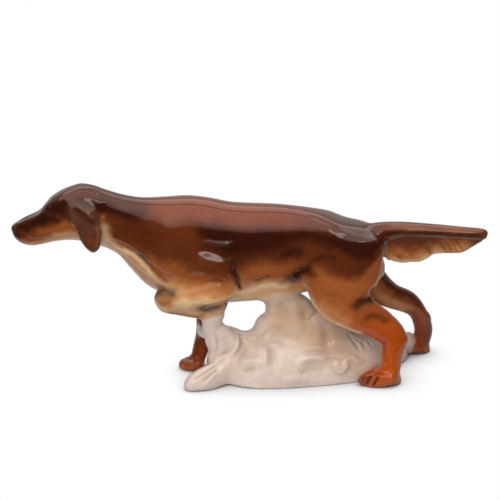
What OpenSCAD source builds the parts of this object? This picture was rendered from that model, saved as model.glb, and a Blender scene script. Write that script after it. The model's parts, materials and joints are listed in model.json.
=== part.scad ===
// Glazed porcelain figurine of a setter on point, standing over a sculpted mound.
// The figure is slip-cast in pieces, which are luted together along the seams modelled here.
// X runs along the dog with the nose at -X, its left side faces -Y, and Z is up from the table.

/* [Figure] */
// Length from the nose to the tip of the tail, which scales the whole figure
figure_length = 280; // [220:5:340]
// Wall thickness of the hollow castings
cast_wall = 4; // [3:0.5:5]

/* [Trunk] */
// Width across the shoulders
chest_width = 45; // [40:1:50]
// Width across the loin, behind the ribs
loin_width = 38; // [34:1:42]
// How far the muscles stand out, as a share of the modelled relief
muscle_relief = 1; // [0:0.1:1.5]

/* [Head] */
// Width across the skull
skull_width = 27; // [24:1:30]
// Width across the muzzle
muzzle_width = 14.5; // [12:0.5:16]
// Length of an ear from its root to its tip
ear_length = 31.2; // [28:0.2:34]

/* [Tail] */
// Greatest depth of the feathering below the tail
feather_depth = 21.5; // [16:0.5:26]
// Number of locks along the feathering
feather_locks = 9; // [5:1:14]

/* [Mound] */
// Length of the mound
mound_length = 124; // [116:1:132]
// Width of the mound
mound_width = 58; // [52:1:62]
// Height of the mound's back
mound_height = 26; // [22:1:28]
// Diameter of the kiln vent in the mound's floor
vent_d = 6; // [4:0.5:8]

/* [Hidden] */

sculpted_length = 280;
chestnut = "#5a2f1a";
russet = "#a0501c";
ivory = "#d8c8b8";

// Ends of the nose and the rump, and where the head is luted to the neck
nose_x = -140;
rump_x = 80;
neck_joint_x = -85;
// Ends of the hollows in the head and the trunk
head_core_x = -116;
trunk_core_x = 70;
// Squareness of the upright cross-sections, where 2 is an ellipse
squareness = 2.2;
// Share by which the cross-sections are narrower at the keel
keel = 0.2;

// Number of sides and rings of each skin
trunk_sides = 26;
trunk_rings = 38;
head_sides = 22;
head_rings = 24;
core_sides = 14;
core_rings = 10;
limb_sides = 14;
limb_rings = 20;
ear_rings = 12;
paw_sides = 20;
paw_rings = 9;
feather_sides = 12;
feather_rings = 30;
mound_sides = 36;
mound_rings = 13;

// Side view of the trunk and neck: [x, z] along the topline and the underline
topline = [[-85, 113.3], [-74, 109.9], [-63, 108.1], [-50, 108.4], [-36, 109], [-24, 107.7],
           [-10, 105], [20, 103.4], [42, 100.5], [57, 95.6], [68, 92.2], [76, 88.2], [80, 78]];
underline = [[-85, 78], [-77, 73.4], [-70, 65], [-63, 57], [-56, 51.8],
             [-46, 47.4], [-34, 44.4], [-18, 43.8], [0, 44.8], [16, 46.4], [30, 49.6],
             [44, 52.4], [58, 56.6], [70, 62.6], [77, 68.5], [80, 77]];
// Plan view of the trunk and neck: [x, half width]
trunk_plan = [[-85, 12.9], [-78, 13.4], [-68, 15.6], [-56, 19.2], [-40, chest_width / 2],
              [-16, chest_width / 2], [6, chest_width / 2 - 0.8], [30, loin_width / 2],
              [44, loin_width / 2], [58, loin_width / 2 + 0.6], [70, 15.6], [77, 10.4], [80, 1]];
// Muscles and hollows of the trunk: [x, z, reach along x, reach along z, height]
trunk_relief = [[-26, 72, 16, 17, 2.6], [-6, 64, 4, 13, -2], [10, 72, 17, 15, 0.9],
                [27, 72, 10, 12, -1.4], [-66, 90, 8, 9, -1.2], [59, 82, 15, 13, 1.2]];

// Side view of the head: [x, z] along the forehead and the jaw
forehead = [[-140, 91.2], [-138, 93.4], [-134, 95.4], [-128, 98.2], [-123.6, 100.6], [-120, 104.4],
            [-116, 108.4], [-110, 112.2], [-104, 114.9], [-98.5, 116.4], [-91, 115.5], [-85, 113.3]];
jaw = [[-140, 88.6], [-138.2, 84], [-134, 80.4], [-128, 79], [-122, 79.8], [-114, 81.8],
       [-105, 82.6], [-98, 81.8], [-91, 79.4], [-85, 78]];
// Plan view of the head: [x, half width]
head_plan = [[-140, 1], [-138, 4.6], [-134, 6.2], [-127, muzzle_width / 2], [-122, muzzle_width / 2 + 0.8],
             [-116, 10.6], [-108, 12.6], [-99, skull_width / 2], [-91, 12.7], [-85, 12.9]];
// Brows, eyes, cheeks and flews: [x, z, reach along x, reach along z, height]
head_relief = [[-116, 108, 4, 2.6, 1], [-117.6, 104.6, 3, 2.4, -1.2], [-117.4, 104.4, 1.5, 1.3, 1.4],
               [-105, 92, 7, 6, 1], [-130, 82.6, 6, 3.4, 1], [-121, 97, 4, 6, -0.8]];

// Left ear in level sections from its root to its tip: [x, y, share of its length, half depth, half width]
ear_root_z = 110.6;
left_ear_plan = [[-108.2, -9.4, 0, 0.8, 0.8], [-106.7, -10.6, 0.051, 2.1, 1.6],
                 [-104.2, -12.4, 0.131, 4.2, 2.2], [-100.4, -14.4, 0.274, 6.8, 2.5],
                 [-97, -15.6, 0.433, 8, 2.5], [-95.1, -16.2, 0.593, 7.4, 2.3],
                 [-94.1, -16.2, 0.736, 6.5, 2.1], [-92.6, -15.8, 0.885, 4.6, 1.8],
                 [-92, -15.5, 0.962, 2.4, 1.2], [-92, -15.4, 1, 0.6, 0.5]];

// Lines of the limbs: [x, y, z, half depth, half width] from the root to the end
raised_forearm_line = [[-8, -13, 63, 7, 5], [-16, -18.4, 58.4, 8.6, 6.6], [-26, -19, 54.4, 9, 7.4],
                       [-38, -17.6, 51.8, 7.8, 7], [-48, -16.2, 50.6, 7, 6.2], [-53.6, -15.6, 51, 5.4, 4.8],
                       [-56, -15.4, 51.2, 0.6, 0.6]];
raised_paw_line = [[-53.4, -15.4, 50, 3, 4], [-49.5, -15.2, 47.6, 5, 5.6], [-41, -14.8, 45.2, 4.6, 5.6],
                   [-29, -14.4, 43.4, 4.8, 6.2], [-19, -14.4, 44.6, 4.8, 6.4], [-14, -14.4, 47, 0.6, 1]];
standing_foreleg_line = [[-13, 11.5, 60, 11, 6], [-15.6, 11, 48, 9.6, 7], [-21.4, 10, 36, 7.8, 6.8],
                         [-25.2, 8.5, 27, 5.7, 6.2], [-28.8, 7, 18, 4.9, 5.4], [-30.8, 5.4, 10.4, 4.6, 5.2],
                         [-31.6, 4, 3, 4.4, 5]];
left_hind_line = [[60, -13, 86, 12, 4], [58.4, -14.6, 76, 18.6, 7.2], [55, -16, 63, 22.6, 8.6],
                  [56.4, -17, 51.6, 18.4, 9], [64.6, -17.6, 42.6, 12.2, 8.4], [76.4, -18.6, 35.8, 9.6, 7.2],
                  [84.6, -19.6, 28, 8, 6.4], [84, -20.2, 18.6, 6.4, 6], [83.4, -20.6, 10, 6, 6.4],
                  [83, -21, 3, 5, 6]];
right_hind_line = [[62, 13, 86, 12, 4], [63.4, 14.6, 75, 16.4, 8], [65.6, 16.6, 62, 17.2, 9.4],
                   [71.4, 18.6, 49.4, 13.4, 9], [84.4, 20.6, 40.8, 9, 7.8], [95.4, 23.4, 34.6, 7.2, 6.6],
                   [103.4, 26.4, 27, 6.6, 6.2], [106.8, 28.6, 16.2, 5.8, 5.6], [105.6, 30.2, 8, 5.6, 6],
                   [104.6, 31, 3, 4.8, 5.8]];
dock_line = [[66, 0, 84, 7, 6], [77, 0, 87.4, 5.4, 5.6], [90, 0, 88.8, 4.2, 4.6], [108, 0, 87.9, 3.8, 4],
             [126, 0, 86.5, 3.5, 3.4], [136, 0, 85.7, 3.4, 2.8], [139.4, 0, 85.3, 2.4, 1.6],
             [140, 0, 85.2, 0.4, 0.4]];
belly_prop_line = [[31, -1, 14, 33, 17], [28, -1, 24, 29, 15.4], [23.4, -0.6, 32, 23, 13],
                   [21.4, 0, 39, 15.4, 11.4], [19.2, 0, 45, 11, 10.8], [17.6, 0, 50, 10.8, 11.6],
                   [17, 0, 55, 11, 12]];
paw_prop_line = [[-15, -10, 10, 12, 9], [-17, -12, 19, 11, 8.4], [-19.6, -13.2, 27.4, 8.4, 6.8],
                 [-22, -13.6, 33.4, 5.8, 5.8], [-21.6, -14, 42, 7.4, 6.2]];
// Banks of the mound: before the standing forepaw, up between the two props, and before the right hind paw
fore_bank_line = [[2, -14, 8, 9, 10], [-12, -18, 8.4, 8, 10], [-23.5, -23.6, 6.4, 6.6, 9.6],
                  [-32.4, -28, 4.2, 5, 8], [-36.4, -29.6, 2.8, 3.4, 5.6], [-38.4, -30.2, 1.6, 0.8, 1.4]];
saddle_line = [[-22, -9, 22, 7, 6.4], [-16, -7.6, 22, 9.4, 8], [-6, -6, 17.6, 9.4, 10], [4, -4, 15.8, 10, 12],
               [12, -3, 16.4, 10, 12]];
hind_bank_line = [[70, 8, 9, 10, 10], [82, 16, 8.4, 8.6, 9], [91, 22.6, 7.4, 7.4, 7],
                  [97.6, 26.4, 6.8, 6.8, 5.4], [100, 27.6, 6.4, 0.8, 1]];

// Ends of the web from the paw prop across to the standing foreleg: [x, y, z, radius]
web_ends = [[-23, -9, 26.5, 3.4], [-29, 6, 25, 3]];

// Paws on the ground: [heel x, heel y, turn, length, width, height]
standing_fore_paw = [-27, 2.8, 0, 15.4, 13.6, 9];
left_hind_paw = [89.4, -19.4, 12, 25.6, 16, 12];
right_hind_paw = [110.4, 31, 0, 21, 14.6, 10];

// Depth of the feathering: [x, share of its greatest depth]
feather_plan = [[72, 0.3], [80, 0.8], [84, 0.92], [90, 0.94], [100, 0.9], [105, 0.8], [108.5, 0.68],
                [113, 0.63], [120, 0.6], [126, 0.55], [133, 0.3], [138, 0.12]];
feather_from = feather_plan[0][0];
feather_to = feather_plan[len(feather_plan) - 1][0];
feather_half_t = 2.4;
// Swell of each lock across the feathering, and how far its end trails behind its root
lock_swell = 0.5;
lock_trail = 6;

// Middle of the figure's footprint in Y, which is brought to the origin
footprint_mid_y = 1.1;

// Middle of the mound, and how far its long axis is turned
mound_centre = [36, 2];
mound_turn = 16;
// The mound is cast a little thicker than the body
mound_wall = cast_wall + 1;

function total(values) = len(values) == 0 ? 0 : values * [for (v = values) 1];
function signed_power(v, p) = sign(v) * pow(abs(v), p);

// Smooth curve through stops of [position, value], where a value is a number or a vector
function stop_before(stops, s, i = 0) =
    i > len(stops) - 3 || s < stops[i + 1][0] ? i : stop_before(stops, s, i + 1);
function slope_at(stops, i) =
    let (a = stops[max(i - 1, 0)], b = stops[min(i + 1, len(stops) - 1)])
    (b[1] - a[1]) / (b[0] - a[0]);
function along(stops, s) =
    let (i = stop_before(stops, s), a = stops[i], b = stops[i + 1],
         span = b[0] - a[0], t = (s - a[0]) / span, rise = b[1] - a[1],
         m = slope_at(stops, i) * span, n = slope_at(stops, i + 1) * span)
    a[1] + t * (m + t * (3 * rise - 2 * m - n + t * (m + n - 2 * rise)));
function numbered(line) = [for (i = [0:len(line) - 1]) [i, line[i]]];

// Evenly eased positions from a to b, closer together towards the ends
function eased(a, b, count) = [for (i = [0:count]) (a + b) / 2 - cos(180 * i / count) * (b - a) / 2];

// Closed skin over rings that all have the same number of points
module skin(rings) {
    n = len(rings[0]);
    last = (len(rings) - 1) * n;
    sides = [for (i = [0:len(rings) - 2], j = [0:n - 1])
        let (a = i * n + j, b = i * n + (j + 1) % n) each [[a, a + n, b + n], [a, b + n, b]]];
    polyhedron([for (ring = rings) each ring],
               concat([[for (j = [0:n - 1]) j]], sides, [[for (j = [n - 1:-1:0]) last + j]]));
}

// Height that a list of muscles adds at a point of the side view
function raised(relief, x, z) =
    muscle_relief * total([for (m = relief)
        m[4] * exp(-pow((x - m[0]) / m[2], 2) - pow((z - m[1]) / m[3], 2))]);

// Upright cross-section at x between a top and a bottom line, drawn in by inset for an inner wall
function section(x, top, bottom, plan, relief, sides, inset = 0) =
    let (z_top = along(top, x) - inset, z_bottom = along(bottom, x) + inset,
         z_mid = (z_top + z_bottom) / 2, half_h = (z_top - z_bottom) / 2, half_w = along(plan, x) - inset)
    [for (j = [0:sides - 1])
        let (a = 360 * j / sides, z = z_mid + half_h * signed_power(sin(a), 2 / squareness),
             y = half_w * signed_power(cos(a), 2 / squareness) * (1 - keel * pow(max(0, -sin(a)), 1.5)))
        [x, y + cos(a) * raised(relief, x, z), z]];

// Cross-section of a limb, square to the limb's line as the side view shows it and no lower than the table
function limb_ring(stops, s, sides) =
    let (c = along(stops, s), ahead = along(stops, s + 0.02), behind = along(stops, s - 0.02),
         tilt = atan2(ahead[2] - behind[2], ahead[0] - behind[0]))
    [for (j = [0:sides - 1])
        let (a = 360 * j / sides)
        [c[0] - c[3] * sin(tilt) * sin(a), c[1] + c[4] * cos(a), max(0, c[2] + c[3] * cos(tilt) * sin(a))]];
module limb(line, rings = limb_rings, sides = limb_sides) {
    stops = numbered(line);
    end = len(line) - 1;
    skin([for (i = [0:rings]) limb_ring(stops, end * i / rings, sides)]);
}

// Paw of the given length, with the toes towards -X, the heel rounded and the sole flat on z = 0
module paw(length, width, height, toes = 4) {
    knuckle = 0.45;
    groove_depth = 0.25;
    sole_rise = 0.35;
    skin([for (i = [0:paw_rings])
        let (share = 1 - pow(i / paw_rings, 0.9), x = -length * share,
             heel = sqrt(min(1, 0.1 + 4.5 * share)),
             h = height * heel * (1 - 0.62 * pow(share, 1.6)) * (i == 0 ? 0.5 : 1),
             w = width / 2 * heel * sqrt(max(0.16, sin(40 + 122 * share))))
        [for (j = [0:paw_sides - 1])
            let (a = 360 * j / paw_sides, across = signed_power(cos(a), 0.8),
                 between_toes = 1 - abs(cos(90 * toes * (across + 1))),
                 groove = groove_depth * between_toes * max(0, share - knuckle) / (1 - knuckle))
            [x - (1 - across * across) * 2 * share, w * across,
             sin(a) > 0 ? h * (sole_rise + (1 - sole_rise) * sin(a) * (1 - groove))
                        : h * max(0, sole_rise + 0.42 * sin(a))]]]);
}

module placed_paw(p) {
    translate([p[0], p[1], 0]) rotate(p[2]) paw(p[3], p[4], p[5]);
}

module trunk_outside() {
    skin([for (x = eased(neck_joint_x, rump_x, trunk_rings))
        section(x, topline, underline, trunk_plan, trunk_relief, trunk_sides)]);
}

module trunk_inside() {
    core = [for (x = eased(neck_joint_x, trunk_core_x, core_rings))
        section(x, topline, underline, trunk_plan, [], core_sides, cast_wall)];
    skin([[for (p = core[0]) p - [1, 0, 0]], each core]);
}

module trunk() {
    color(chestnut) difference() {
        trunk_outside();
        trunk_inside();
    }
}

module head_outside() {
    skin([for (x = eased(nose_x, neck_joint_x, head_rings))
        section(x, forehead, jaw, head_plan, head_relief, head_sides)]);
}

module head_inside() {
    core = [for (x = eased(head_core_x, neck_joint_x, core_rings))
        section(x, forehead, jaw, head_plan, [], core_sides, cast_wall)];
    skin([each core, [for (p = core[core_rings]) p + [1, 0, 0]]]);
}

module head() {
    color(chestnut) difference() {
        head_outside();
        head_inside();
    }
}

module left_ear_outside() {
    stops = numbered(left_ear_plan);
    skin([for (i = [0:ear_rings])
        let (e = along(stops, (len(stops) - 1) * i / ear_rings), z = ear_root_z - ear_length * e[2])
        [for (j = [0:limb_sides - 1])
            let (a = 360 * j / limb_sides)
            [e[0] + e[3] * cos(a), e[1] - e[4] * sin(a), z]]]);
}

module left_ear() {
    color(chestnut) difference() {
        left_ear_outside();
        head_outside();
        trunk_outside();
    }
}

module right_ear() mirror([0, 1, 0]) left_ear();

module feathering() {
    centre = [for (d = dock_line) [d[0], d[2]]];
    function lock(x) = sin(360 * feather_locks * (x - feather_from) / (feather_to - feather_from));
    skin([for (x = eased(feather_from, feather_to, feather_rings))
        let (depth = feather_depth * along(feather_plan, x) * (1 + 0.05 * lock(x)))
        [for (j = [0:feather_sides - 1])
            let (a = 360 * j / feather_sides, drop = (1 - sin(a)) / 2,
                 half_t = feather_half_t + lock_swell * drop * lock(x + lock_trail * drop))
            [x, half_t * cos(a), along(centre, x) - depth * drop]]]);
}

module tail() {
    color(chestnut) difference() {
        union() {
            limb(dock_line, rings = 18, sides = 12);
            feathering();
        }
        trunk_outside();
    }
}

module raised_foreleg_outside() {
    limb(raised_forearm_line, rings = 16);
    limb(raised_paw_line, rings = 14);
}

module raised_foreleg() {
    color(russet) difference() {
        raised_foreleg_outside();
        trunk_outside();
    }
}

module standing_foreleg_outside() {
    limb(standing_foreleg_line, rings = 18);
    placed_paw(standing_fore_paw);
}

module standing_foreleg() {
    color(russet) difference() {
        standing_foreleg_outside();
        trunk_outside();
    }
}

module left_hind_leg_outside() {
    limb(left_hind_line);
    placed_paw(left_hind_paw);
}

module left_hind_leg() {
    color(russet) difference() {
        left_hind_leg_outside();
        trunk_outside();
    }
}

module right_hind_leg_outside() {
    limb(right_hind_line);
    placed_paw(right_hind_paw);
}

module right_hind_leg() {
    color(russet) difference() {
        right_hind_leg_outside();
        trunk_outside();
    }
}

// Domed mass of the mound, drawn in by inset for the inner wall
module mound_mass(inset, rings, sides) {
    translate([mound_centre[0], mound_centre[1], inset]) rotate(mound_turn)
    skin([for (i = [0:rings])
        let (rise = 88 * i / rings)
        [for (j = [0:sides - 1])
            let (a = 360 * j / sides,
                 lobes = inset > 0 ? 1 : 1 + 0.035 * sin(5 * a + 40) + 0.03 * sin(3 * a - 20 + rise),
                 reach = pow(cos(rise), 0.64) * lobes)
            [(mound_length / 2 - inset) * reach * cos(a), (mound_width / 2 - inset) * reach * sin(a),
             (mound_height - 2 * inset) * pow(sin(rise), 0.9)]]]);
}

module mound_outside() {
    mound_mass(0, mound_rings, mound_sides);
    limb(fore_bank_line, rings = 12);
    limb(saddle_line, rings = 8);
    limb(hind_bank_line, rings = 8);
}

module mound() {
    color(ivory) difference() {
        mound_outside();
        mound_mass(mound_wall, core_rings, core_sides);
        translate([mound_centre[0], mound_centre[1], -1])
            cylinder(d = vent_d, h = mound_wall + 4, $fn = 32);
        left_hind_leg_outside();
        right_hind_leg_outside();
        standing_foreleg_outside();
    }
}

module belly_prop() {
    color(ivory) difference() {
        limb(belly_prop_line, rings = 12, sides = 18);
        trunk_outside();
        mound_outside();
        left_hind_leg_outside();
    }
}

module prop_web() {
    hull() for (e = web_ends)
        translate([e[0], e[1], e[2]]) sphere(e[3], $fn = 14);
}

module paw_prop() {
    color(ivory) difference() {
        union() {
            limb(paw_prop_line, rings = 10);
            prop_web();
        }
        raised_foreleg_outside();
        mound_outside();
        standing_foreleg_outside();
    }
}

// Brings the sculpted figure to its length, with the middle of its footprint at the origin
module place() {
    scale(figure_length / sculpted_length) translate([0, -footprint_mid_y, 0]) children();
}

place() trunk();
place() head();
place() left_ear();
place() right_ear();
place() tail();
place() raised_foreleg();
place() standing_foreleg();
place() left_hind_leg();
place() right_hind_leg();
place() mound();
place() belly_prop();
place() paw_prop();
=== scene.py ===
import json
import math
from collections import deque

import bpy
import numpy as np
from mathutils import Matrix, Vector
from mathutils.bvhtree import BVHTree
from mathutils.kdtree import KDTree

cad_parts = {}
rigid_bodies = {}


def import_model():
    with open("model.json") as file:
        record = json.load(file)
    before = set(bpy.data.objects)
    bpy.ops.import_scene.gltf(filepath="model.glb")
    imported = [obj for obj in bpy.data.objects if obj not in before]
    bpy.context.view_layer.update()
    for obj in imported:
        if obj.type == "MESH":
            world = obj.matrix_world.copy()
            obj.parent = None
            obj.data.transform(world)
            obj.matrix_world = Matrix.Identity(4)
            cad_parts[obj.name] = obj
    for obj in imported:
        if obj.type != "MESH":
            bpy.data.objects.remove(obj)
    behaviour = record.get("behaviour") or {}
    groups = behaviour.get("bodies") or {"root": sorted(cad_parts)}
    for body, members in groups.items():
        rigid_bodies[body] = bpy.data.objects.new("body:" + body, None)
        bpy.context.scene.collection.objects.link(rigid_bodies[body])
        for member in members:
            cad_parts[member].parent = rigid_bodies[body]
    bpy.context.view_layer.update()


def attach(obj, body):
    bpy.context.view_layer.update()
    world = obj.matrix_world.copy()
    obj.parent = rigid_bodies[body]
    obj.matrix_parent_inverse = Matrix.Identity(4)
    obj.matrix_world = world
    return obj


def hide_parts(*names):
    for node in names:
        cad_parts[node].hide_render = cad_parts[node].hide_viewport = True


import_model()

bl_info = {
    "name": "Porcelain Setter",
    "version": (1, 0, 0),
    "blender": (4, 5, 0),
    "location": "View3D > Sidebar > Setter",
    "description": "Models, lutes, paints and glazes a porcelain setter on its mound",
    "category": "Object",
}

MM = 0.001
# The figure is sculpted in millimetres about the dog's own middle plane, which lies a little off the frame's
MIDLINE_Y = -1.1


def glaze_colour(red, green, blue):
    """Linear colour of an 8-bit display colour."""
    values = [c / 255 for c in (red, green, blue)]
    return tuple(c / 12.92 if c <= 0.04045 else ((c + 0.055) / 1.055) ** 2.4 for c in values)


# Side and plan views of the body: (x, z) along the topline and the underline, and (x, half width)
BODY_TOP = [(-140, 90.4), (-138, 92.2), (-134, 94), (-128, 96.9), (-123.6, 99.5), (-120, 103.9), (-116, 108.3),
            (-110, 112.1), (-104, 114.8), (-98.5, 116.3), (-91, 115.3), (-85, 113), (-74, 109.6), (-63, 107.8),
            (-50, 108.1), (-36, 108.8), (-24, 107.5), (-10, 104.8), (20, 103.2), (42, 99.5), (57, 94.1), (68, 91.6),
            (76, 88), (80, 78)]
BODY_BOTTOM = [(-140, 88.6), (-138.2, 84), (-134, 80.4), (-128, 79), (-122, 79.8), (-114, 81.8), (-105, 82.6),
               (-98, 81.8), (-91, 79.4), (-85, 78), (-77, 73.4), (-70, 65), (-63, 57), (-56, 51.8), (-46, 47.4),
               (-34, 44.4), (-18, 43.8), (0, 44.8), (16, 46.4), (30, 49.6), (44, 52.4), (58, 56.6), (68, 62.6),
               (74, 69), (78, 75), (80, 77.4)]
BODY_PLAN = [(-140, 1), (-138, 4.6), (-134, 6.2), (-127, 7.25), (-122, 8.05), (-116, 10.6), (-108, 12.6), (-99, 13.5),
             (-91, 12.7), (-85, 12.9), (-78, 13.4), (-68, 15.6), (-56, 19.2), (-40, 22.5), (-16, 22.5), (6, 21.7),
             (30, 19), (44, 19), (58, 19.6), (70, 15.6), (77, 10.4), (80, 1)]
# Squareness of the sections above their middle: (x, power), 2 being an ellipse. Below it they keep the first power.
BODY_SQUARENESS = [(-140, 2.2), (-134, 2.5), (-122, 2.6), (-112, 2.8), (-102, 2.4), (-92, 2.2), (20, 2.2), (50, 2.9),
                   (80, 2.9)]
BODY_KEEL = 0.2
NECK_JOINT_X = -85

# Left ear in level sections from its root to its tip: (x, y, z, half depth, half width)
EAR = [(-106.6, -9.4, 110.6, 0.8, 0.8), (-105, -10.6, 109, 2.1, 1.6), (-102.2, -12.4, 106.5, 4, 2.2),
       (-98.4, -14.4, 102, 6.4, 2.5), (-95, -15.6, 97.1, 7.4, 2.5), (-93.2, -16.2, 92.1, 6.9, 2.3),
       (-92.4, -16.2, 87.6, 6.1, 2.1), (-91.4, -15.8, 83, 4.4, 1.8), (-91.1, -15.5, 80.6, 2.4, 1.2),
       (-91.1, -15.4, 79.4, 0.6, 0.5)]

# Lines of the ears' roots, haunches, limbs, props and banks: (x, y, z, half depth, half width) from end to end
EAR_ROOT = [(-108, -8, 108.8, 1.2, 1.6), (-103, -9.3, 106.8, 3.2, 4.2), (-98.4, -10.4, 104.4, 4, 5.4),
            (-93.8, -11.4, 100.8, 4, 5.8), (-90.4, -11.6, 97.4, 3.2, 5), (-88.6, -11.6, 95, 1, 2)]
HAUNCH = [(52, -8, 75, 10.6, 8), (62, -9, 72, 13.4, 9.6), (70, -9.4, 70, 12.4, 9.4), (75.6, -9.2, 68.8, 9.4, 7.6),
          (79.5, -9.2, 69, 3.2, 3.2)]
DOCK = [(66, 0, 84, 7, 7), (77, 0, 87.4, 5.4, 6.8), (90, 0, 88.8, 4.2, 6.2), (108, 0, 87.9, 3.8, 5.4),
        (126, 0, 86.5, 3.5, 4.4), (136, 0, 85.7, 3.4, 3.4), (139.4, 0, 85.3, 2.4, 1.8), (140, 0, 85.2, 0.4, 0.4)]
RAISED_FOREARM = [(-8, -13, 63, 7, 5), (-16, -18.4, 58.4, 8.6, 6.6), (-26, -19, 54.4, 9, 7.4),
                  (-38, -17.6, 52, 8, 7), (-48, -16.2, 51.2, 7.6, 6.2), (-53.6, -15.6, 51.6, 6, 4.8),
                  (-56.2, -15.4, 51.8, 0.8, 0.8)]
RAISED_PAW = [(-53.4, -15.4, 50, 3, 4), (-49.5, -15.2, 47.6, 5, 5.6), (-41, -14.8, 45.2, 4.6, 5.6),
              (-29, -14.4, 43.4, 4.8, 6.2), (-19, -14.4, 44.6, 4.8, 6.4), (-14, -14.4, 47, 0.6, 1)]
STANDING_FORELEG = [(-13, 11.5, 60, 11, 6), (-19.4, 11, 48, 9.8, 7), (-22.6, 10, 38, 9, 6.8), (-24.6, 9, 29, 7.5, 6.4),
                    (-26.8, 7.4, 19.5, 5.6, 5.6), (-29.4, 5.6, 11, 4.8, 5.2), (-31.6, 4, 3, 4.4, 5)]
LEFT_HIND = [(60, -13, 88.6, 15, 4.8), (59.4, -14.6, 76, 19, 7.2), (54.4, -16, 63, 21.5, 8.6), (56, -17, 51.6, 18.2, 9),
             (64.6, -17.6, 42.6, 12.2, 8.4), (76.4, -18.6, 35.8, 9.6, 7.2), (84.6, -19.6, 28, 8, 6.4),
             (84, -20.2, 18.6, 6.4, 6), (83.4, -20.6, 10, 6, 6.4), (83, -21, 3, 5, 6)]
RIGHT_HIND = [(60.6, 13, 88, 14, 4.8), (60.6, 14.6, 75, 16, 8), (62.6, 16.6, 62, 15, 9.4), (71.2, 18.6, 49.2, 12.6, 9),
              (84, 20.6, 40.2, 8, 7.6), (95, 23.4, 34.6, 7, 6.4), (101.9, 26.4, 27.2, 5.4, 5.8),
              (105.8, 28.6, 16.2, 5.6, 5.4), (105.2, 30.2, 8, 5.4, 5.8), (104.4, 31, 3, 4.8, 5.8)]
BELLY_PROP = [(31, -1, 14, 33, 17), (28, -1, 24, 29, 15.4), (23.4, -0.6, 32, 23, 13), (21.4, 0, 39, 15.4, 11.4),
              (18.4, 0, 45, 10.2, 10.8), (15.8, 0, 50, 9.2, 11.4), (15.2, 0, 55, 9.4, 12)]
PAW_PROP = [(-14.4, -10, 10, 11.4, 9), (-15.6, -12, 19, 9.4, 8.4), (-19, -13.2, 27.4, 8.4, 6.8),
            (-22, -13.6, 33.4, 5.8, 5.8), (-21.6, -14, 42, 7.4, 6.2)]
PROP_WEB = [(-20, -11, 25.4, 5, 4.4), (-24.5, -7, 25, 4.6, 4), (-28.4, -1.6, 24.8, 3.8, 3.6),
            (-30.4, 2.2, 24.8, 3.4, 3.4), (-31.4, 7.2, 24.8, 2.4, 2.6)]
FORE_BANK = [(2, -12, 6, 10, 11), (-11, -15.4, 5.4, 10.4, 9.8), (-22.5, -23, 4.2, 8.4, 10.4),
             (-31.8, -28, 3, 6.2, 7.8), (-36.2, -29.8, 2, 4, 5.2), (-38.4, -30.2, 1.2, 0.8, 1.4)]
SADDLE = [(-22, -9, 22, 7, 6.4), (-16, -7.6, 22, 9.4, 8), (-6, -6, 17.6, 9.4, 10), (4, -4, 15.8, 10, 12),
          (12, -3, 16.4, 10, 12)]
HIND_BANK = [(70, 8, 9, 10, 10), (82, 16, 8.4, 8.6, 9), (91, 22.6, 7.4, 7.4, 7), (97.6, 26.4, 6.8, 6.8, 5.4),
             (100, 27.6, 6.4, 0.8, 1)]

# Paws on the ground: (heel x, heel y, turn in degrees, length, width, height)
PAWS = {"standing_foreleg": (-27, 2.8, 0, 15.4, 13.6, 9),
        "left_hind_leg": (89.4, -19.4, 12, 25.6, 16, 12),
        "right_hind_leg": (110.4, 31, 0, 21, 14.6, 10)}
# Share of a paw's length that its pad takes up, and how far its toes tip and the outer ones turn out, in radians
PAD_SHARE = 0.84
TOE_TIP = -0.2
TOE_SPREAD = 0.3

# Depth of the feathering: (x, share of its greatest depth), and how far a lock trails behind its root
FEATHER = [(68, 0.55), (74, 0.68), (79.6, 0.77), (84, 0.89), (90, 0.975), (95, 0.95), (100, 0.93), (104.7, 0.82),
           (108.2, 0.69), (113, 0.64), (120, 0.61), (125.5, 0.565), (132, 0.36), (138, 0.14)]
LOCK_TRAIL = 0.5
# The web of hair behind the locks is this thick on each side, and wider towards the dock from this girth on
WEB_THICKNESS = 1.7
WEB_GIRTH = 2.4
# Locks hang this far below the dock's line and reach this share of the way to the edge of the web
LOCK_ROOT = 1.5
LOCK_SHARE = 0.76
LOCK_UNEVENNESS = 0.05
LOCK_SEED = 5
# Stations along the feathering, and those between which the locks are rooted
FEATHER_STATIONS = 120
LOCK_STATIONS = slice(14, -5)

MOUND_CENTRE = (36, 2)
MOUND_TURN = 16

# Glazes and the castings that they cover
GLAZED = {"chestnut_glaze": "trunk head left_ear right_ear tail",
          "russet_glaze": "raised_foreleg standing_foreleg left_hind_leg right_hind_leg",
          "ivory_glaze": "mound belly_prop paw_prop"}
GLAZES = {casting: glaze for glaze, castings in GLAZED.items() for casting in castings.split()}
CASTINGS = list(GLAZES)
LEGS = GLAZED["russet_glaze"]
BASE = GLAZED["ivory_glaze"]
EARS = "left_ear right_ear"
THIGHS = "trunk left_hind_leg right_hind_leg"
UPPER_ARM = "trunk raised_foreleg"
# Grain of the glazes: (share of the glaze's roughness, scale and strength of the airbrushed grain)
GLAZE_GRAIN = {"chestnut_glaze": (1, 750, 0.14), "russet_glaze": (1, 750, 0.11), "ivory_glaze": (1.2, 500, 0.05)}

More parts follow.
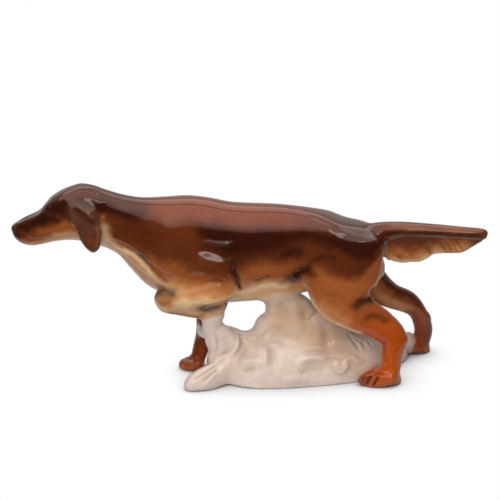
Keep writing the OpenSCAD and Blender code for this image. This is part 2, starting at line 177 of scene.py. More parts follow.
# Coat, in levels from the underline, 0, to the topline, 1: (x, top of walnut, amber, tan and cream, topline's chestnut)
COAT_BANDS = [(-140, 0.7, 0.4, 0.1, -0.2, 0.3), (-116, 0.66, 0.46, 0.22, 0, 0.3), (-96, 0.7, 0.5, 0.34, 0.12, 0.3),
              (-86, 0.7, 0.52, 0.38, 0.2, 0.3), (-78, 0.78, 0.36, 0.24, 0.1, 0.3), (-69, 0.78, 0.45, 0.26, 0.06, 0.3),
              (-61, 0.85, 0.42, 0.28, 0.04, 0.4), (-53, 0.92, 0.44, 0.25, 0.02, 0.8),
              (-44, 0.96, 0.46, 0.27, 0.04, 0.9), (-35, 0.88, 0.44, 0.25, 0.1, 0.9),
              (-26, 0.72, 0.4, 0.24, 0.08, 0.9), (-17, 0.58, 0.37, 0.24, 0.08, 0.9),
              (-6, 0.58, 0.42, 0.26, 0.16, 0.9), (6, 0.58, 0.49, 0.25, 0.12, 0.9), (18, 0.64, 0.47, 0.23, 0.12, 0.8),
              (30, 0.7, 0.46, 0.16, 0.04, 0.7), (42, 0.72, 0.42, 0.1, -0.2, 0.5), (53, 0.66, 0.28, -0.2, -0.6, 0.3),
              (65, 0.54, 0.24, -0.3, -0.8, 0.2), (80, 0.68, 0.4, -0.5, -1, 0.2)]
# Half the width, in the same levels, over which one colour gives way to the next
BAND_SOFTNESS = 0.1
# Levels between which the chestnut of the topline comes in, and heights between which the russet of the legs goes out
TOPLINE_LEVELS = (0.78, 0.92)
RUSSET_HEIGHTS = (28, 56)
# Places along the body between which the levels are measured
COAT_RANGE = (-138, 76)
# Fawn on the mound and props: a little everywhere, and as painted shade in the deepest hollows besides
FAWN_SHARES = (0.1, 0.9)


class SetterSizes(bpy.types.PropertyGroup):
    """Sizes of the modelling, in metres."""
    grain: bpy.props.FloatProperty(name="Clay grain", description="Cell size of the fused skin", default=0.00062,
                                   min=0.0004, max=0.002, subtype="DISTANCE", unit="LENGTH")
    feather_depth: bpy.props.FloatProperty(name="Feather depth", description="Greatest depth of the tail's feathering",
                                           default=0.0215, subtype="DISTANCE", unit="LENGTH")
    feather_locks: bpy.props.IntProperty(name="Feather locks", description="Locks along the feathering", default=30)
    lock_girth: bpy.props.FloatProperty(name="Lock girth", description="Half thickness of one lock", default=0.0021,
                                        subtype="DISTANCE", unit="LENGTH")
    toes: bpy.props.IntProperty(name="Toes", description="Toes on each paw", default=4)
    mound_length: bpy.props.FloatProperty(name="Mound length", description="Length of the mound", default=0.124,
                                          subtype="DISTANCE", unit="LENGTH")
    mound_width: bpy.props.FloatProperty(name="Mound width", description="Width of the mound", default=0.058,
                                         subtype="DISTANCE", unit="LENGTH")
    mound_height: bpy.props.FloatProperty(name="Mound height", description="Height of the mound", default=0.026,
                                          subtype="DISTANCE", unit="LENGTH")


class SetterColours(bpy.types.PropertyGroup):
    """Underglaze colours and the glaze."""
    # Umber also lays painted shade in the dog's hollows, round the ears and eyes and under the forearm
    umber: bpy.props.FloatVectorProperty(name="Umber", description="Darkest brown of the flanks and hollows",
                                         default=glaze_colour(50, 15, 3), subtype="COLOR", size=3, min=0, max=1)
    chestnut: bpy.props.FloatVectorProperty(name="Chestnut", description="Brown of the back, head and ears",
                                            default=glaze_colour(126, 56, 27), subtype="COLOR", size=3, min=0, max=1)
    walnut: bpy.props.FloatVectorProperty(name="Walnut", description="Brown of the neck, shoulder and hips",
                                          default=glaze_colour(94, 41, 14), subtype="COLOR", size=3, min=0, max=1)
    # Cocoa is brown paint greyed as a painted reflection, on the ears and upper feathering
    cocoa: bpy.props.FloatVectorProperty(name="Cocoa", description="Grey brown of the ears",
                                         default=glaze_colour(84, 48, 35), subtype="COLOR", size=3, min=0, max=1)
    russet: bpy.props.FloatVectorProperty(name="Russet", description="Red brown of the legs",
                                          default=glaze_colour(168, 70, 13), subtype="COLOR", size=3, min=0, max=1)
    amber: bpy.props.FloatVectorProperty(name="Amber", description="Orange brown of the shoulder, ribs and thigh",
                                         default=glaze_colour(150, 82, 40), subtype="COLOR", size=3, min=0, max=1)
    tan: bpy.props.FloatVectorProperty(name="Tan", description="Pale brown below the belly and jaw",
                                       default=glaze_colour(200, 140, 86), subtype="COLOR", size=3, min=0, max=1)
    cream: bpy.props.FloatVectorProperty(name="Cream", description="Bare cream along the chest and forearm",
                                         default=glaze_colour(222, 190, 148), subtype="COLOR", size=3, min=0, max=1)
    ivory: bpy.props.FloatVectorProperty(name="Ivory", description="White body of the mound and props",
                                         default=glaze_colour(212, 194, 183), subtype="COLOR", size=3, min=0, max=1)
    # Fawn is the mound's tint, and its painted shade in the hollows and under the belly
    fawn: bpy.props.FloatVectorProperty(name="Fawn", description="Glaze pooled in the hollows of the mound",
                                        default=glaze_colour(186, 155, 128), subtype="COLOR", size=3, min=0, max=1)
    black: bpy.props.FloatVectorProperty(name="Black", description="Eyes, nose, claws and mouth",
                                         default=glaze_colour(28, 14, 10), subtype="COLOR", size=3, min=0, max=1)
    glaze_roughness: bpy.props.FloatProperty(name="Glaze roughness", description="Blur of reflections in the glaze",
                                             default=0.08, min=0, max=1, subtype="FACTOR")


def along(stops, at):
    """Smooth curve through rows of (position, value, ...), read at an array of positions."""
    rows = np.asarray(stops, float)
    place, value = rows[:, 0], rows[:, 1:]
    slope = np.empty_like(value)
    slope[1:-1] = (value[2:] - value[:-2]) / (place[2:] - place[:-2])[:, None]
    slope[0] = (value[1] - value[0]) / (place[1] - place[0])
    slope[-1] = (value[-1] - value[-2]) / (place[-1] - place[-2])
    at = np.atleast_1d(np.asarray(at, float))
    i = np.clip(np.searchsorted(place, at, side="right") - 1, 0, len(place) - 2)
    span = (place[i + 1] - place[i])[:, None]
    t = (at[:, None] - place[i][:, None]) / span
    rise = value[i + 1] - value[i]
    a, b = slope[i] * span, slope[i + 1] * span
    return value[i] + t * (a + t * (3 * rise - 2 * a - b + t * (a + b - 2 * rise)))


def signed_power(value, power):
    return np.sign(value) * np.abs(value) ** power


def in_frame(points):
    """Sculpted millimetres to metres in the frame."""
    return (np.asarray(points, float) + (0, MIDLINE_Y, 0)) * MM


def skin(rings):
    """Points and faces of a closed skin over rings with the same number of points."""
    count, sides = rings.shape[:2]
    i, j = np.meshgrid(np.arange(count - 1), np.arange(sides), indexing="ij")
    k = (j + 1) % sides
    quads = np.stack([i * sides + j, i * sides + k, (i + 1) * sides + k, (i + 1) * sides + j], -1).reshape(-1, 4)
    ends = [list(range(sides - 1, -1, -1)), list(range((count - 1) * sides, count * sides))]
    return rings.reshape(-1, 3), quads.tolist() + ends


def limb(line, rings=90, sides=40):
    """Skin whose oval sections stand square to a line of (x, y, z, half depth, half width)."""
    stops = [(i, *row) for i, row in enumerate(line)]
    s = np.linspace(0, len(line) - 1, rings)
    centre = along(stops, s)
    step = along(stops, np.clip(s + 0.02, 0, len(line) - 1)) - along(stops, np.clip(s - 0.02, 0, len(line) - 1))
    tilt = np.arctan2(step[:, 2], step[:, 0])[:, None]
    a = np.linspace(0, 2 * math.pi, sides, endpoint=False)[None, :]
    x = centre[:, 0:1] - centre[:, 3:4] * np.sin(tilt) * np.sin(a)
    y = centre[:, 1:2] + centre[:, 4:5] * np.cos(a)
    z = np.maximum(0, centre[:, 2:3] + centre[:, 3:4] * np.cos(tilt) * np.sin(a))
    return skin(np.stack([x, y, z], -1))


def mirrored(points, faces):
    """The same skin on the dog's other side."""
    return points * (1, -1, 1), [f[::-1] for f in faces]


def ear_loft(rings=80, sides=40):
    """Skin of the left ear over its level sections."""
    stops = [(i, *row) for i, row in enumerate(EAR)]
    e = along(stops, np.linspace(0, len(EAR) - 1, rings))
    a = np.linspace(0, 2 * math.pi, sides, endpoint=False)[None, :]
    x, y = e[:, 0:1] + e[:, 3:4] * np.cos(a), e[:, 1:2] - e[:, 4:5] * np.sin(a)
    return skin(np.stack([x, y, np.repeat(e[:, 2:3], sides, 1)], -1))


def body_loft():
    """Skin of the body from the nose to the rump."""
    nose, rump = BODY_TOP[0][0], BODY_TOP[-1][0]
    x = np.unique(np.concatenate([np.linspace(nose, rump, 300), np.linspace(nose, nose + 8, 20),
                                  np.linspace(rump - 6, rump, 20)]))
    top, bottom, half_w = (along(t, x)[:, 0] for t in (BODY_TOP, BODY_BOTTOM, BODY_PLAN))
    a = np.linspace(0, 2 * math.pi, 128, endpoint=False)
    power = np.where(np.sin(a) > 0, along(BODY_SQUARENESS, x), BODY_SQUARENESS[0][1])
    up, out = (signed_power(f(a)[None, :], 2 / power) for f in (np.sin, np.cos))
    z = ((top + bottom) / 2)[:, None] + ((top - bottom) / 2)[:, None] * up
    y = half_w[:, None] * out * (1 - BODY_KEEL * np.maximum(0, -np.sin(a)) ** 1.5)
    return skin(np.stack([np.repeat(x[:, None], len(a), 1), y, z], -1))


def paw_loft(length, width, height):
    """Low rounded skin of a paw on the ground, its heel at the origin and its toes towards -X."""
    share = np.linspace(1, 0, 28)[:, None] ** 1.1
    a = np.linspace(0, 2 * math.pi, 40, endpoint=False)[None, :]
    heel = np.sqrt(np.minimum(1, 0.1 + 4.5 * share))
    h = height * heel * (1 - 0.62 * share ** 1.6)
    h[0] *= 0.5
    w = width / 2 * heel * np.sqrt(np.maximum(0.16, np.sin(np.radians(40 + 122 * share))))
    across = signed_power(np.cos(a), 0.8)
    x = -length * share - (1 - across * across) * 2 * share
    z = h * np.where(np.sin(a) > 0, 0.35 + 0.65 * np.sin(a), np.maximum(0, 0.35 + 0.42 * np.sin(a)))
    return skin(np.stack([x, w * across, z], -1))


def mound_loft(length, width, height):
    """Skin of the lobed dome of the mound."""
    rise = np.linspace(0, math.radians(88), 60)[:, None]
    a = np.linspace(0, 2 * math.pi, 160, endpoint=False)[None, :]
    lobes = 1 + 0.035 * np.sin(5 * a + math.radians(40)) + 0.03 * np.sin(3 * a - math.radians(20) + rise)
    reach = np.cos(rise) ** 0.64 * lobes
    x, y = length / 2 * reach * np.cos(a), width / 2 * reach * np.sin(a)
    turn = math.radians(MOUND_TURN)
    z = np.broadcast_to(height * np.sin(rise) ** 0.9, x.shape)
    return skin(np.stack([MOUND_CENTRE[0] + x * math.cos(turn) - y * math.sin(turn),
                          MOUND_CENTRE[1] + x * math.sin(turn) + y * math.cos(turn), z], -1))


def new_mesh(name, points, faces):
    mesh = bpy.data.meshes.new(name)
    mesh.from_pydata(np.asarray(points).tolist(), [], faces)
    mesh.update()
    return mesh


def clay_bench():
    """Collection that holds the loose clay until it is luted."""
    bench = bpy.data.collections.get("Clay")
    if bench is None:
        bench = bpy.data.collections.new("Clay")
        bpy.context.scene.collection.children.link(bench)
    return bench


def lay_clay(name, casting, points, faces):
    """Puts one closed lump of clay, in sculpted millimetres, on the bench for a casting."""
    lump = bpy.data.objects.new("clay_" + name, new_mesh("clay_" + name, in_frame(points), faces))
    lump["lump"], lump["casting"] = name, casting
    clay_bench().objects.link(lump)
    return lump


def put(tree, kind, links=None, **settings):
    """Adds a node, sets its options and fills its sockets with values or links."""
    made = tree.nodes.new(kind)
    for name, value in settings.items():
        setattr(made, name, value)
    for name, value in (links or {}).items():
        if isinstance(value, bpy.types.NodeSocket):
            tree.links.new(value, made.inputs[name])
        else:
            made.inputs[name].default_value = value
    return made


def fresh_tree(owner):
    """Empty node tree of a material or a world."""
    owner.use_nodes = True
    owner.node_tree.nodes.clear()
    return owner.node_tree


def geometry_tree(name, inputs):
    """Geometry node tree with named inputs of (name, socket type, default), and its input and output nodes."""
    tree = bpy.data.node_groups.new(name, "GeometryNodeTree")
    tree.interface.new_socket("Geometry", in_out="INPUT", socket_type="NodeSocketGeometry")
    for label, kind, default in inputs:
        tree.interface.new_socket(label, in_out="INPUT", socket_type=kind).default_value = default
    tree.interface.new_socket("Geometry", in_out="OUTPUT", socket_type="NodeSocketGeometry")
    return tree, tree.nodes.new("NodeGroupInput"), tree.nodes.new("NodeGroupOutput")


def finished_mesh(obj):
    """Mesh of obj with its modifiers applied."""
    graph = bpy.context.evaluated_depsgraph_get()
    return bpy.data.meshes.new_from_object(obj.evaluated_get(graph), depsgraph=graph)


def grown_mesh(obj, tree, values):
    """Mesh that a geometry tree makes from obj, with its named inputs set. obj is removed."""
    grow = obj.modifiers.new(tree.name, "NODES")
    grow.node_group = tree
    for item in tree.interface.items_tree:
        if item.item_type == "SOCKET" and item.in_out == "INPUT" and item.name in values:
            grow[item.identifier] = values[item.name]
    mesh = finished_mesh(obj)
    bpy.data.objects.remove(obj)
    return mesh


def mesh_points(mesh):
    points = np.empty(len(mesh.vertices) * 3)
    mesh.vertices.foreach_get("co", points)
    return points.reshape(-1, 3)


def mesh_arrays(mesh):
    """Points of a mesh, and its faces as tuples of point numbers."""
    return mesh_points(mesh), [tuple(f.vertices) for f in mesh.polygons]


def math_node(tree, operation, a, b=0.0):
    return put(tree, "ShaderNodeMath", {0: a, 1: b}, operation=operation).outputs[0]


def toe_tree(clay):
    """Geometry tree that sets a row of toes round the front of a paw."""
    tree, given, made = geometry_tree("toe_row", [
        ("Toes", "NodeSocketInt", 4), ("Paw Length", "NodeSocketFloat", 0.02), ("Paw Width", "NodeSocketFloat", 0.015),
        ("Paw Height", "NodeSocketFloat", 0.01), ("Spread", "NodeSocketFloat", 0.25)])
    toes, length, width, height, spread = (given.outputs[n] for n in
                                           ("Toes", "Paw Length", "Paw Width", "Paw Height", "Spread"))
    # Shares of the paw's length, width and height: the toes' places, how far the outer ones lie back, and their size
    ahead, bow, aside, above = 0.70, 0.14, 0.36, 0.32
    long, wide, high = 0.34, 0.15, 0.34
    row = put(tree, "GeometryNodeMeshLine", {"Count": toes})
    index = put(tree, "GeometryNodeInputIndex").outputs[0]
    half = math_node(tree, "DIVIDE", math_node(tree, "SUBTRACT", toes, 1.0), 2.0)
    share = math_node(tree, "DIVIDE", math_node(tree, "SUBTRACT", index, half), half)
    back = math_node(tree, "MULTIPLY", math_node(tree, "MULTIPLY", share, share), bow)
    girth = math_node(tree, "MULTIPLY", width, wide)
    place = put(tree, "ShaderNodeCombineXYZ", {
        "X": math_node(tree, "MULTIPLY", math_node(tree, "SUBTRACT", back, ahead), length),
        "Y": math_node(tree, "MULTIPLY", share, math_node(tree, "MULTIPLY", width, aside)),
        "Z": math_node(tree, "MULTIPLY", height, above)})
    set_out = put(tree, "GeometryNodeSetPosition", {"Geometry": row.outputs[0], "Position": place.outputs[0]})
    toe = put(tree, "GeometryNodeMeshUVSphere", {"Segments": 20, "Rings": 12, "Radius": 1.0})
    turn = put(tree, "ShaderNodeCombineXYZ", {"Y": TOE_TIP, "Z": math_node(tree, "MULTIPLY", share, spread)})
    size = put(tree, "ShaderNodeCombineXYZ", {"X": math_node(tree, "MULTIPLY", length, long), "Y": girth,
                                              "Z": math_node(tree, "MULTIPLY", height, high)})
    rows = put(tree, "GeometryNodeInstanceOnPoints", {
        "Points": set_out.outputs[0], "Instance": toe.outputs[0], "Rotation": turn.outputs[0],
        "Scale": size.outputs[0]})
    real = put(tree, "GeometryNodeRealizeInstances", {"Geometry": rows.outputs[0]})
    both = put(tree, "GeometryNodeJoinGeometry")
    tree.links.new(given.outputs["Geometry"], both.inputs[0])
    tree.links.new(real.outputs[0], both.inputs[0])
    dressed = put(tree, "GeometryNodeSetMaterial", {"Geometry": both.outputs[0], "Material": clay})
    tree.links.new(dressed.outputs[0], made.inputs[0])
    return tree


def lock_tree(clay):
    """Geometry tree that hangs tapered locks of hair along a line, as deep as its 'drop' attribute says."""
    tree, given, made = geometry_tree("feather_locks", [
        ("Locks", "NodeSocketInt", 20), ("Girth", "NodeSocketFloat", 0.0025), ("Trail", "NodeSocketFloat", 0.55),
        ("Unevenness", "NodeSocketFloat", 0.12), ("Seed", "NodeSocketInt", 5)])
    locks, girth, trail, uneven, seed = (given.outputs[n] for n in ("Locks", "Girth", "Trail", "Unevenness", "Seed"))
    thickness = 0.11
    line = put(tree, "GeometryNodeMeshToCurve", {"Mesh": given.outputs["Geometry"]})
    spaced = put(tree, "GeometryNodeResampleCurve", {"Curve": line.outputs[0], "Count": locks})
    end = put(tree, "ShaderNodeCombineXYZ", {"X": trail, "Z": -1.0})
    bend = put(tree, "ShaderNodeCombineXYZ", {"X": math_node(tree, "MULTIPLY", trail, 0.12), "Z": -0.5})
    strand = put(tree, "GeometryNodeCurveQuadraticBezier", {"Resolution": 18, "Middle": bend.outputs[0],
                                                           "End": end.outputs[0]})
    factor = put(tree, "GeometryNodeSplineParameter").outputs["Factor"]
    swell = math_node(tree, "SINE", math_node(tree, "ADD", math_node(tree, "MULTIPLY", factor, 2.1), 0.85))
    taper = put(tree, "GeometryNodeSetCurveRadius", {"Curve": strand.outputs[0],
                                                     "Radius": math_node(tree, "MAXIMUM", swell, 0.1)})
    profile = put(tree, "GeometryNodeCurvePrimitiveCircle", {"Resolution": 10, "Radius": thickness})
    lock = put(tree, "GeometryNodeCurveToMesh", {"Curve": taper.outputs[0], "Profile Curve": profile.outputs[0],
                                                 "Fill Caps": True})
    drop = put(tree, "GeometryNodeInputNamedAttribute", {"Name": "drop"}, data_type="FLOAT").outputs["Attribute"]
    vary = put(tree, "FunctionNodeRandomValue", {"Min": math_node(tree, "SUBTRACT", 1.0, uneven),
                                                 "Max": math_node(tree, "ADD", 1.0, uneven), "Seed": seed},
               data_type="FLOAT")
    deep = math_node(tree, "MULTIPLY", drop, vary.outputs["Value"])
    size = put(tree, "ShaderNodeCombineXYZ", {"X": deep, "Y": math_node(tree, "DIVIDE", girth, thickness), "Z": deep})
    sway = put(tree, "FunctionNodeRandomValue", {"Min": (-0.03, -0.07, -0.1), "Max": (0.03, 0.07, 0.1), "Seed": seed},
               data_type="FLOAT_VECTOR")
    hung = put(tree, "GeometryNodeInstanceOnPoints", {
        "Points": spaced.outputs[0], "Instance": lock.outputs[0], "Rotation": sway.outputs["Value"],
        "Scale": size.outputs[0]})
    real = put(tree, "GeometryNodeRealizeInstances", {"Geometry": hung.outputs[0]})
    dressed = put(tree, "GeometryNodeSetMaterial", {"Geometry": real.outputs[0], "Material": clay})
    tree.links.new(dressed.outputs[0], made.inputs[0])
    return tree


def clay_material():
    return bpy.data.materials.get("damp_clay") or bpy.data.materials.new("damp_clay")


class SETTER_OT_body(bpy.types.Operator):
    """Lays up the body from nose to rump, which the trunk and head castings share"""
    bl_idname = "setter.body"
    bl_label = "Trunk and head"

    def execute(self, context):
        lay_clay("body", "trunk", *body_loft())
        haunch = limb(HAUNCH)
        lay_clay("body", "trunk", *haunch)
        lay_clay("body", "trunk", *mirrored(*haunch))
        return {"FINISHED"}


class SETTER_OT_ears(bpy.types.Operator):
    """Lays up the two hanging ears"""
    bl_idname = "setter.ears"
    bl_label = "Ears"

    def execute(self, context):
        for loft in (ear_loft(), limb(EAR_ROOT)):
            lay_clay("left_ear", "left_ear", *loft)
            lay_clay("right_ear", "right_ear", *mirrored(*loft))
        return {"FINISHED"}


class SETTER_OT_tail(bpy.types.Operator):
    """Lays up the dock and hangs locks of feathering along it"""
    bl_idname = "setter.tail"
    bl_label = "Tail"

    def execute(self, context):
        sizes = context.scene.setter_sizes
        lay_clay("dock", "tail", *limb(DOCK))
        x = np.linspace(FEATHER[0][0], FEATHER[-1][0], FEATHER_STATIONS)
        dock_z = along([(d[0], d[2]) for d in DOCK], x)
        depth = sizes.feather_depth / MM * along(FEATHER, x)
        a = np.linspace(0, 2 * math.pi, 32, endpoint=False)[None, :]
        drop = (1 - np.sin(a)) / 2
        girth = along([(d[0], d[4]) for d in DOCK], x)
        thin = (WEB_THICKNESS + np.maximum(girth - WEB_GIRTH, 0) * (1 - drop) ** 1.3) * signed_power(np.cos(a), 0.5)
        web = np.stack([np.repeat(x[:, None], a.size, 1), thin, dock_z - depth * drop], -1)
        lay_clay("feather", "tail", *skin(web))
        hang = in_frame(np.stack([x, 0 * x, dock_z[:, 0] - LOCK_ROOT], -1)[LOCK_STATIONS])
        # A lock ends behind its root, where the feathering may be shallower
        reach = depth[:, 0]
        for _ in range(6):
            reach = sizes.feather_depth / MM * along(FEATHER, np.minimum(x + LOCK_TRAIL * reach, x[-1]))[:, 0]
        line = bpy.data.meshes.new("dock_line")
        line.from_pydata(hang.tolist(), [(i, i + 1) for i in range(len(hang) - 1)], [])
        drops = (LOCK_SHARE * reach[LOCK_STATIONS] * MM).astype(np.float32)
        line.attributes.new("drop", "FLOAT", "POINT").data.foreach_set("value", drops)
        carrier = bpy.data.objects.new("dock_line", line)
        clay_bench().objects.link(carrier)
        locks = grown_mesh(carrier, lock_tree(clay_material()), {
            "Locks": sizes.feather_locks, "Girth": sizes.lock_girth, "Trail": LOCK_TRAIL,
            "Unevenness": LOCK_UNEVENNESS, "Seed": LOCK_SEED})
        lump = bpy.data.objects.new("clay_locks", locks)
        lump["lump"], lump["casting"] = "feather", "tail"
        clay_bench().objects.link(lump)
        return {"FINISHED"}


class SETTER_OT_legs(bpy.types.Operator):
    """Lays up the four legs and sets the toes round the paws on the ground"""
    bl_idname = "setter.legs"
    bl_label = "Legs"

    def execute(self, context):
        lay_clay("forearm", "raised_foreleg", *limb(RAISED_FOREARM))
        lay_clay("folded_paw", "raised_foreleg", *limb(RAISED_PAW))
        lay_clay("foreleg", "standing_foreleg", *limb(STANDING_FORELEG))
        lay_clay("left_thigh", "left_hind_leg", *limb(LEFT_HIND))
        lay_clay("right_thigh", "right_hind_leg", *limb(RIGHT_HIND))
        toes = toe_tree(clay_material())
        for casting, (x, y, turn, length, width, height) in PAWS.items():
            points, faces = paw_loft(length * PAD_SHARE, width, height)
            carrier = bpy.data.objects.new("paw", new_mesh("paw", points * MM, faces))
            clay_bench().objects.link(carrier)
            paw = grown_mesh(carrier, toes, {
                "Toes": context.scene.setter_sizes.toes, "Paw Length": length * MM, "Paw Width": width * MM,
                "Paw Height": height * MM, "Spread": TOE_SPREAD})
            points, faces = mesh_arrays(paw)
            c, s = math.cos(math.radians(turn)), math.sin(math.radians(turn))
            points = points / MM @ np.array([(c, s, 0), (-s, c, 0), (0, 0, 1)]) + (x, y, 0)
            lay_clay("paw", casting, points, faces)
        return {"FINISHED"}


class SETTER_OT_mound(bpy.types.Operator):
    """Lays up the mound with its banks, and the props under the belly and the raised paw"""
    bl_idname = "setter.mound"
    bl_label = "Mound and props"

    def execute(self, context):
        sizes = context.scene.setter_sizes
        lay_clay("mound", "mound",
                 *mound_loft(sizes.mound_length / MM, sizes.mound_width / MM, sizes.mound_height / MM))
        lay_clay("bank", "mound", *limb(FORE_BANK))
        lay_clay("saddle", "mound", *limb(SADDLE))
        lay_clay("bank", "mound", *limb(HIND_BANK))
        lay_clay("column", "belly_prop", *limb(BELLY_PROP, sides=64))
        lay_clay("stalk", "paw_prop", *limb(PAW_PROP))
        lay_clay("web", "paw_prop", *limb(PROP_WEB))
        return {"FINISHED"}


# Lines of the longest hair in the feathering
FEATHER_STRANDS = [
    [(112, -2, 82.6), (114.4, -2, 79), (115.6, -2, 75)],
    [(115, -2, 82.6), (117.8, -2, 79), (119.2, -2, 75.2)],
    [(118, -2, 82.6), (121, -2, 79), (122.6, -2, 75.4)],
    [(121, -2, 82.6), (124.2, -2, 79.2), (126, -2, 76)],
    [(124.4, -2, 82.4), (127.4, -2, 79.6), (129.2, -2, 77.4)]]

